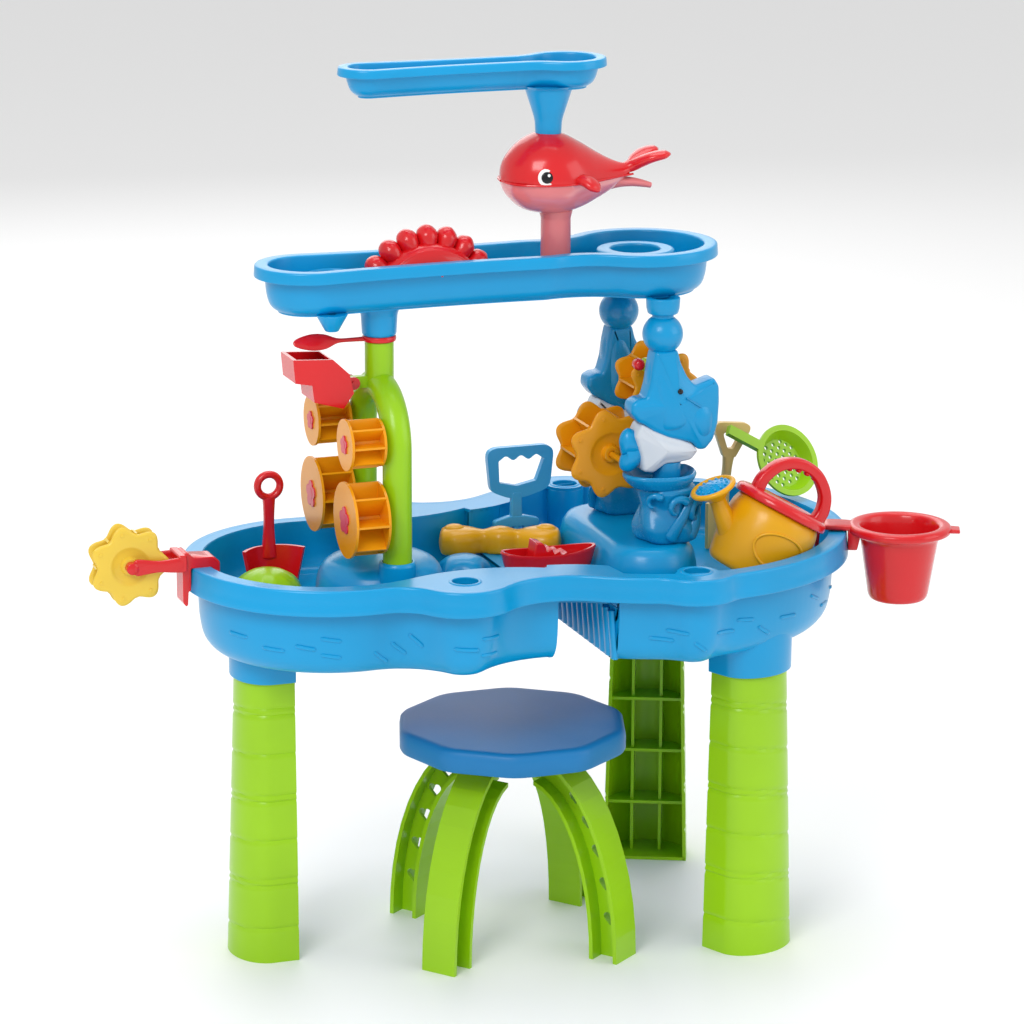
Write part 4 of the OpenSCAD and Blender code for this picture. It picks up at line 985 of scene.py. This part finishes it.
# Outline in XZ drawn along Y, its ends smaller by the edge
def alongY(loop, y0, y1, edge=1.0):
    flat = np.asarray(loop, float)
    middle = (flat.max(0) + flat.min(0)) / 2
    span = (flat.max(0) - flat.min(0)) / 2
    small = middle + (flat - middle) * (1 - edge / span)
    rows = [(y0, small), (y0 + edge, flat), (y1 - edge, flat), (y1, small)]
    return skin([np.column_stack([f[:, 0], np.full(len(f), y), f[:, 1]]) for y, f in rows])


# Clip that hooks over the rim and carries a wheel on two arms
hook = soften([(-326, 397), (-326, 350), (-322.5, 346), (-321.6, 361), (-319.2, 361), (-319.2, 383.4),
    (-297, 383.4),
               (-297, 361), (-294, 358), (-290.5, 362), (-290.5, 387), (-296, 392), (-316, 393),
               (-321, 398)], 2, 4)
parts = [alongY(hook, -12, 12)]
for s in (-1, 1):
    arm = [(-375, s * 15.5, 389, 8.5, 2.6), (-366, s * 15.5, 389, 7.5, 2.4),
        (-350, s * 15.5, 388.5, 5.5, 2.4),
           (-336, s * 15.2, 388, 6.5, 2.6), (-324, s * 14, 388, 7.5, 2.8)]
    parts.append(swept(arm, 30, up=(0, 1, 0), around=24, power=3.5, ends=(6, 1)))
    parts.append(put(turned([(0, -3.6), (5.5, -3.6), (5.5, 3.2), (4, 4.2), (0, 4.4)], count=32),
        (-375, s * 15.8, 389), ("x", -s * 90)))
parts.append(alongY(soften([(-331, 381), (-323, 381), (-323, 397), (-331, 397)], 2), -17, 17))
made = piece("clipFork", "rim_clip", red, parts)
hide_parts("clamp_fork")

# Cup with a flange, a hook and a tab
parts = [turned(soften([(0, -72), (26, -72), (28.5, -68), (37.5, -10), (44, -7), (48.5, -6.8),
    (49.6, -3), (48, 0.6), (44, 1.6),
                        (38, 0.6), (36, -4), (25.5, -66), (22, -68.6), (0, -68.6)],
                        [1, 2, 3, 4, 2, 2, 2, 2, 3, 2, 4, 3, 2, 1], closed=False))]
parts.append(swept([(-40, 0, -3, 3.2, 13), (-50, 0, -1.6, 2.8, 13.5), (-62, 0, -1.2, 2.8, 13.5),
    (-72, 0, -1.8, 2.8, 13), (-77, 0, -6, 2.6, 12.5),
                    (-78, 0, -14, 2.4, 11.5), (-78, 0, -23, 2.2, 10)], 40, power=5, around=28,
                    ends=(1, 2)))
parts.append(alongY(soften([(-48.8, -23), (-40, -23), (-36, -5), (-48.8, -4)], 1.5), -13, 13))
parts.append(alongY(soften([(44, -6), (57, -6), (57, -2.4), (44, -1.6)], 1.2), -8, 8))
hang = {"reach": (243, 0, 388), "lobe": (133, 0, 0), "turn": ("z", -23.5)}
parts = [put(put(p, hang["reach"]), hang["lobe"], hang["turn"]) for p in parts]
made = piece("hangingCup", "cup", red, parts)
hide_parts("cup")
print("clip and cup made")


# Ball of radius r, scaled by squash along each axis
def ballPart(r, squash=(1, 1, 1), count=32):
    t = np.linspace(-math.pi / 2, math.pi / 2, count // 2 + 1)
    points, faces = turned(np.stack([r * np.cos(t), r * np.sin(t)], 1), count=count)
    return points * np.array(squash, float), faces


# Scalloped mould on the middle tray
a = np.linspace(0, math.pi, 50)
arch = np.vstack([np.stack([np.cos(a), np.sin(a)], 1),
    np.stack([np.linspace(-0.9, 0.9, 12), np.zeros(12)], 1)])
rows = [(20, 1.0, 52), (14, 1.0, 54), (-8, 1.0, 54), (-15, 0.97, 54), (-20, 0.86, 54), (-23, 0.66, 54),
    (-25, 0.36, 54), (-25.6, 0.03, 54)]
parts = [skin([np.column_stack([arch[:, 0] * r * k, np.full(len(arch), y),
    arch[:, 1] * r * k + 12 * (1 - k)]) for y, k, r in rows])]
for k in range(9):
    t = math.radians(16 + k * 18.5)
    c, w = math.cos(t), math.sin(t)
    lobe = [(46 * c, 2, 46 * w, 7, 12), (55 * c, 0, 55 * w, 9.5, 13), (63 * c, -2, 63 * w, 9.5, 11),
        (70 * c, -4, 70 * w, 5, 7)]
    parts.append(swept(lobe, 18, around=20, ends=(2, 6)))
for r, y, thick in ((47, -16.5, 2.2), (36, -20.5, 1.8)):
    rows = [(r * math.cos(t), y - 1.2 * math.sin(t), 4 + r * math.sin(t) * 0.93, thick)
        for t in np.linspace(0.12, 3.02, 14)]
    parts.append(swept(rows, 50, around=12, ends=(2, 2)))
parts.append(put(ballPart(8.5, (1.2, 0.7, 1)), (4, -24, 27)))
parts.append(put(ballPart(4.5), (4, -29.5, 28)))
parts.append(put(ballPart(12, (1.1, 0.8, 1)), (50, -14, 14)))
parts.append(put(ballPart(8, (1.2, 0.6, 0.8)), (-26, -21, 14)))
made = piece("scallopMould", "shell_mould", red, [put(p, (-86, 0, 617.3)) for p in parts])
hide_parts("shell_mould")

# Red shovel, scoop down
u = np.linspace(-1, 1, 25)


# Curved blade: y = back - bow |u| ** 2.4 across, its half width from w0 to w1
def scoop(height, w0, w1, bow, thick, n=14):
    rows = []
    for v in np.linspace(0, 1, n):
        w = w0 + (w1 - w0) * v
        back = 6 - 2 * v
        outer = np.stack([w * u, back - bow * np.abs(u) ** 2.4], 1)
        inner = np.stack([(w - thick) * u, back - thick - bow * np.abs(u) ** 2.4], 1)
        rows.append(level(np.vstack([outer, inner[::-1]]), height * v))
    return skin(rows)


parts = [scoop(40, 23, 31, 17, 2.4)]
flat = np.vstack([np.stack([22.5 * u, 4.5 - 15 * np.abs(u) ** 2.4], 1), [[12, -14], [-12, -14]]])
parts.append(skin([level(flat, 0.2), level(flat, 3.2)]))
parts.append(swept([(0, 4, 26, 8, 4), (0, 3.5, 38, 6.5, 4.5), (0, 3, 60, 5, 4.4),
    (0, 2.2, 80, 5.6, 4.4), (0, 2, 88, 6.5, 4.2)], 40, power=3, ends=(3, 1)))
ringPath = np.stack([11 * np.cos(np.linspace(0, tau, 49)[:-1]),
    11 * np.sin(np.linspace(0, tau, 49)[:-1])], 1)


# Tube round a closed path in XZ: r outwards and wide along Y
def ringTube(path, r, wide):
    t = np.arange(14) * tau / 14
    out = unit(path - path.mean(0))
    rows = []
    for cosT, sinT in zip(np.cos(t), np.sin(t)):
        flat2 = path + out * r * cosT
        rows.append(np.column_stack([flat2[:, 0], np.full(len(path), wide * sinT), flat2[:, 1]]))
    return skin(rows, closed=True)


parts.append(put(ringTube(ringPath, 3.6, 4.2), (0, 2, 98)))
made = piece("redShovel", "shovel", red, [put(p, (-218, 72, 334.3)) for p in parts])
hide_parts("shovel")


# Green dome mould with soft ribs
def ribs(z, a):
    return 0.022 * np.cos(12 * a) * np.clip(z / 10, 0, 1) * np.clip((33 - z) / 8, 0, 1)


dome = soften([(32, 0), (36.5, 0), (36.8, 4), (33.5, 5.5), (32, 14), (26, 23.5), (15, 30), (0, 32),
    (0, 29), (14, 27), (24, 21), (29.5, 12), (30.5, 4)],
              [1, 1, 2, 2, 4, 5, 5, 0.2, 0.2, 5, 5, 4, 2])
made = piece("domeMould", "dome_mould", green, [put(turned(dome, closed=True, wave=ribs),
    (-235, 24, 334.3))])
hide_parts("dome_mould")

# Yellow bow-shaped mould
bow = np.array([(-59, 8, 10), (-55, 16, 13), (-44, 21.5, 15), (-30, 18, 14), (-17, 10, 12),
    (-8, 13, 14), (0, 15, 15), (8, 13, 14),
                (17, 10, 12), (30, 18, 14), (44, 21.5, 15), (55, 16, 13), (59, 8, 10)], float)
part = swept(np.column_stack([bow[:, 0], np.zeros(13), np.full(13, 9.5), bow[:, 2], bow[:, 1]]), 80,
    up=(0, 1, 0), around=36, power=2.6, ends=(4, 4))
part = (np.column_stack([part[0][:, :2], np.maximum(part[0][:, 2], 0)]), part[1])
parts = [part]
for x in (-44, 44):
    parts.append(put(ballPart(9, (1.1, 1, 0.5)), (x, 0, 22.5)))
made = piece("bowMould", "bow_mould", yellow, [put(p, (11, 66, 350.3), ("z", -19)) for p in parts])
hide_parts("bow_mould")


# Lumpy mould
def lumps(z, a):
    return 0.13 * np.cos(5 * a + 0.4) * np.clip((26 - z) / 14, 0, 1)


lump = soften([(18, 0), (24, 0), (25, 8), (23, 18), (15, 25), (0, 27), (0, 24), (13, 22), (19, 14),
    (19, 3)], [1, 1, 4, 5, 5, 0.2, 0.2, 4, 4, 2])
made = piece("lumpyMould", "lumpy_mould", blue, [put(turned(lump, closed=True, wave=lumps),
    (-39, 28, 334.3))])
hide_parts("lumpy_mould")

# Boat: hull with a sunk deck, a toothed cabin and a raised bow
t = np.arange(64) * tau / 64
planX = 46.5 * np.cos(t)
planY = 17.5 * np.sign(np.sin(t)) * np.abs(np.sin(t)) ** 0.8 * (1 - 0.3 * np.maximum(np.cos(t), 0) ** 2)
plan = np.stack([planX, planY], 1)
rows = [(0.72, 0), (0.8, 0.2), (0.88, 5), (0.96, 14), (1.0, 21.5), (1.02, 23.5), (1.0, 25),
    (0.94, 24.5), (0.9, 12), (0.86, 9)]
parts = [skin([level(plan * s, z + 3.5 * np.abs(plan[:, 0] / 46.5) ** 2 * (z > 13)) for s, z in rows])]
cabin = [(-20, 8), (17, 8), (16, 25), (11, 22), (8, 27), (3, 24), (0, 30), (-5, 27), (-8, 35),
    (-16, 37), (-18, 24)]
parts.append(alongY(soften(cabin, 1, 3), -10, 10, 1.5))
parts.append(swept([(14, 0, 10, 6, 8), (22, 0, 15, 5, 7), (30, 0, 18, 3, 4)], 16, ends=(2, 3)))
made = piece("toyBoat", "boat", red, [put(p, (23, -35, 350.3)) for p in parts])
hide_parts("boat")

# Rake with a D handle and a wavy grip
outer = soften([(-27, 52), (-8, 44), (8, 44), (34, 52), (38, 90), (30, 95), (-24, 95), (-31, 90)],
    [6, 6, 6, 8, 8, 6, 6, 8], 5)
wavyX = np.linspace(27, -20, 25)
hole = np.vstack([[[-18, 60], [0, 56], [20, 60]], np.column_stack([wavyX + 1,
    84 + 2.2 * np.cos((wavyX - 3) / 47 * 4 * tau / 1.33)])])
part = put(plate(outer, [soften(hole, 1.2, 3)], -3.6, 3.6), (0, 0, 0), ("x", 90))
parts = [part, alongY(soften([(-6, 16), (6, 16), (5, 50), (-5, 50)], 2), -4, 3)]
parts.append(alongY(soften([(-23, 15), (23, 15), (23, 22), (8, 26), (-8, 26), (-23, 22)], 2), -4.5, 3.5))
for k in range(5):
    x = -20.5 + k * 10.25
    parts.append(alongY(soften([(x - 2, 1), (x + 2, 1), (x + 2.6, 18), (x - 2.6, 18)], 0.8, 3), -4, 3,
        0.8))
parts.append(alongY(soften([(-22, 0), (22, 0), (22, 4), (-22, 4)], 1, 3), -5, 3.5, 0.8))
made = piece("blueRake", "rake", lightBlue, [put(p, (38, 97, 350.3)) for p in parts], bevel=0.9)
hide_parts("rake")

# Tan shovel with a triangular handle
grip = soften([(-6, 92), (6, 92), (20, 122), (15, 127), (-15, 127), (-20, 122)], [3, 3, 6, 5, 5, 6], 5)
gripHole = soften([(-3, 101), (3, 101), (10, 117), (-10, 117)], [2, 2, 4, 4], 4)
parts = [put(plate(grip, [gripHole], -3.4, 3.4), (0, 0, 0), ("x", 90))]
parts.append(swept([(0, 0, 40, 7, 4), (0, 0, 56, 5, 4.4), (0, 0, 80, 4.6, 4.2), (0, 0, 94, 6, 3.4)], 30,
    power=3, ends=(2, 1)))
parts.append(scoop(46, 14, 20, 7, 2.4))
made = piece("tanShovel", "tan_shovel", tan, [put(p, (236, 62, 334.3), ("y", 6)) for p in parts],
    bevel=0.8)
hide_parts("tan_shovel")
print("toys made")

# Watering can, tipped back; local parts stand on their base
canPlace = ((195, -100, 353.8), ("y", 30))
body = soften([(0, 0), (35, 0), (40, 4), (43.5, 22), (45, 44), (44, 60), (41, 68), (37.5, 68), (39, 58),
    (39.5, 40), (36, 8), (30, 4), (0, 4)],
              [1, 3, 4, 8, 8, 5, 2, 2, 4, 8, 4, 3, 1], 4, closed=False)
parts = [turned(body)]
ovalT = np.linspace(0, tau, 41)
rows = []
for t in ovalT:
    z = 34 + 17 * math.sin(t)
    swing = -math.pi / 2 + 0.62 * math.cos(t)
    r = np.interp(z, [4, 22, 44, 60], [40, 43.6, 45.1, 44.1])
    rows.append((r * math.cos(swing), r * math.sin(swing), z, 1.5, 1.5))
parts.append(swept(rows, 80, up=(0, 0.3, 1), around=10, plain=False))
spoutLine = [(-24, 0, 20, 13, 15), (-36, 0, 31, 11.5, 13), (-48, 0, 40, 9.5, 10.5),
    (-58, 0, 47.6, 8, 8.6), (-64, 0, 52.3, 7.6, 8)]
parts.append(swept(spoutLine, 30, ends=(2, 0)))
rimRing = turned(soften([(17, 9), (21.5, 9), (22.4, 12), (20.5, 14), (17, 13)], 1), closed=True, count=48)
toRose = ((-30, 0, 26), ("y", -52))
parts.append(put(put(rimRing, (0, 0, 42)), *toRose))
cone = turned(soften([(4, -1), (8, -1), (13, 4), (20, 10), (17, 12), (4, 6)], 1.5), closed=True, count=48)
parts.append(put(put(cone, (0, 0, 42)), *toRose))
made = piece("canBody", "watering_can", yellow, [put(p, *canPlace) for p in parts])
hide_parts("can_body")
face = turned(soften([(0, 8), (17.6, 10.4), (17.4, 12.2), (9, 14.6), (0, 15.6)], 1, closed=False),
    count=48)
dots = [put(turned([(0, 0), (1.5, 0), (1.1, 0.9), (0, 1.1)], count=12),
    (rr * math.cos(q), rr * math.sin(q), 55.6 + 1.4 - rr * 0.11))
        for rr, n in ((5, 6), (10, 10), (14, 14)) for q in np.arange(n) * tau / n]
made = piece("canRoseFace", "watering_can", blue, [put(put(p, *toRose), *canPlace)
    for p in [put(face, (0, 0, 42)), *dots]])
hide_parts("can_rose")
lid = soften([(22, 68.3), (46, 68.3), (47, 70), (46.6, 75), (43, 78), (30, 80), (22, 80)],
    [1, 1, 2, 3, 3, 3, 1])
parts = [turned(lid, closed=True)]
handle = [(-31, 0, 76, 6, 6.5), (-31, 0, 90, 5.6, 6.5), (-22, 0, 107, 5.4, 6.5),
    (-4, 0, 116.5, 5.4, 6.5), (16, 0, 115, 5.4, 6.5), (33, 0, 103, 5.6, 6.5),
          (40, 0, 88, 6, 6.5), (39, 0, 74, 6.5, 6.5)]
parts.append(swept(handle, 70, power=4, around=28, ends=(1, 1)))
for k in range(5):
    parts.append(put(ballPart(3.0, (1, 1.6, 0.8), 16), (-12 + k * 9.5, 0, 111.5 - abs(k - 2) ** 2 * 0.9)))
made = piece("canLid", "watering_can", red, [put(p, *canPlace) for p in parts])
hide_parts("can_lid")
print("watering can made")

# Spinner: ring and one twisted paddle
ringPart = turned(soften([(11.5, 581.6), (15.5, 581.6), (16, 584), (15.5, 586.6), (11.5, 586.6)], 0.8),
    closed=True)
parts = [put(ringPart, (tower["x"], 0, 0))]
arm = [(-145, 0, 584, 2.4, 2.4), (-158, 0, 584, 2, 2), (-172, 0, 584, 2.2, 2.4), (-184, 0, 584, 1.8, 7),
    (-196, 0, 584, 1.5, 8), (-208, 0, 584, 1.4, 5.5), (-215, 0, 584, 1.2, 2)]
parts.append(swept(arm, 50, up=(0, 0.47, 0.88), around=24, power=2.2, ends=(1, 2)))
made = piece("twistSpinner", "spinner", red, parts)
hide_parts("spinner")
print("spinner made")

# Plastics for the parts that show as built
finishes = {
    "green": ["arch_pipe_front", "arch_pipe_back", "arch_crown", "upper_pipe", "wheel_axles", "sieve",
              "stool_leg_a", "stool_leg_b", "stool_leg_c", "stool_leg_d"],
    "red": ["tipping_bucket", "bucket_pin"],
    "orange": ["wheel_upper_back", "wheel_upper_front", "wheel_lower_back", "wheel_lower_front",
    "star_axles"],
    "flower_pink": ["flower_upper_back", "flower_upper_front", "flower_lower_back", "flower_lower_front"],
    "yellow": ["clamp_cap"],
}
plastics = {"green": green, "red": red, "orange": orange, "flower_pink": flowerPink, "yellow": yellow}
for word, names in finishes.items():
    for name in names:
        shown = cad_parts[name]
        shown.data.materials.clear()
        shown.data.materials.append(plastics[word])
print("finishes set")

# Floor, light and camera
floorMat = bpy.data.materials.new("paleFloor")
floorMat.use_nodes = True
floorShader = floorMat.node_tree.nodes["Principled BSDF"]
floorShader.inputs["Base Color"].default_value = (0.93, 0.93, 0.93, 1)
floorShader.inputs["Roughness"].default_value = 0.6
floorMesh = bpy.data.meshes.new("floor")
floorMesh.from_pydata([(-12, -12, 0), (12, -12, 0), (12, 12, 0), (-12, 12, 0)], [], [(0, 1, 2, 3)])
floorMesh.materials.append(floorMat)
floor = bpy.data.objects.new("floor", floorMesh)
bpy.context.scene.collection.objects.link(floor)


# Square area light at a place, turned towards its aim
def softLight(name, place, aim, size, power):
    data = bpy.data.lights.new(name, "AREA")
    data.shape = "SQUARE"
    data.size = size
    data.energy = power
    lamp = bpy.data.objects.new(name, data)
    lamp.location = place
    lamp.rotation_euler = (Vector(aim) - Vector(place)).to_track_quat("-Z", "Y").to_euler()
    bpy.context.scene.collection.objects.link(lamp)


softLight("keyLight", (-2.2, -2.4, 3.0), (0, 0, 0.45), 1.6, 62)
softLight("fillLight", (2.8, -2.0, 1.6), (0, 0, 0.4), 2.2, 22)
softLight("topLight", (0.3, 0.6, 3.4), (0, 0, 0.4), 2.0, 30)
softLight("backLight", (0.5, 3.2, 2.0), (0, 0, 0.4), 2.4, 22)
world = bpy.data.worlds.new("studio")
world.use_nodes = True
world.node_tree.nodes["Background"].inputs["Color"].default_value = (1, 1, 1, 1)
world.node_tree.nodes["Background"].inputs["Strength"].default_value = 0.75
bpy.context.scene.world = world
bpy.context.scene.view_settings.view_transform = "Standard"

camData = bpy.data.cameras.new("camera")
camData.sensor_width = 36
camData.lens = 142.56
camData.shift_x = 0.0696
camera = bpy.data.objects.new("camera", camData)
camera.location = (-1.2635, -3.4801, 1.3767)
camera.rotation_euler = (math.radians(75.314), 0, math.radians(-18.9))
bpy.context.scene.collection.objects.link(camera)
bpy.context.scene.camera = camera
noteSize()
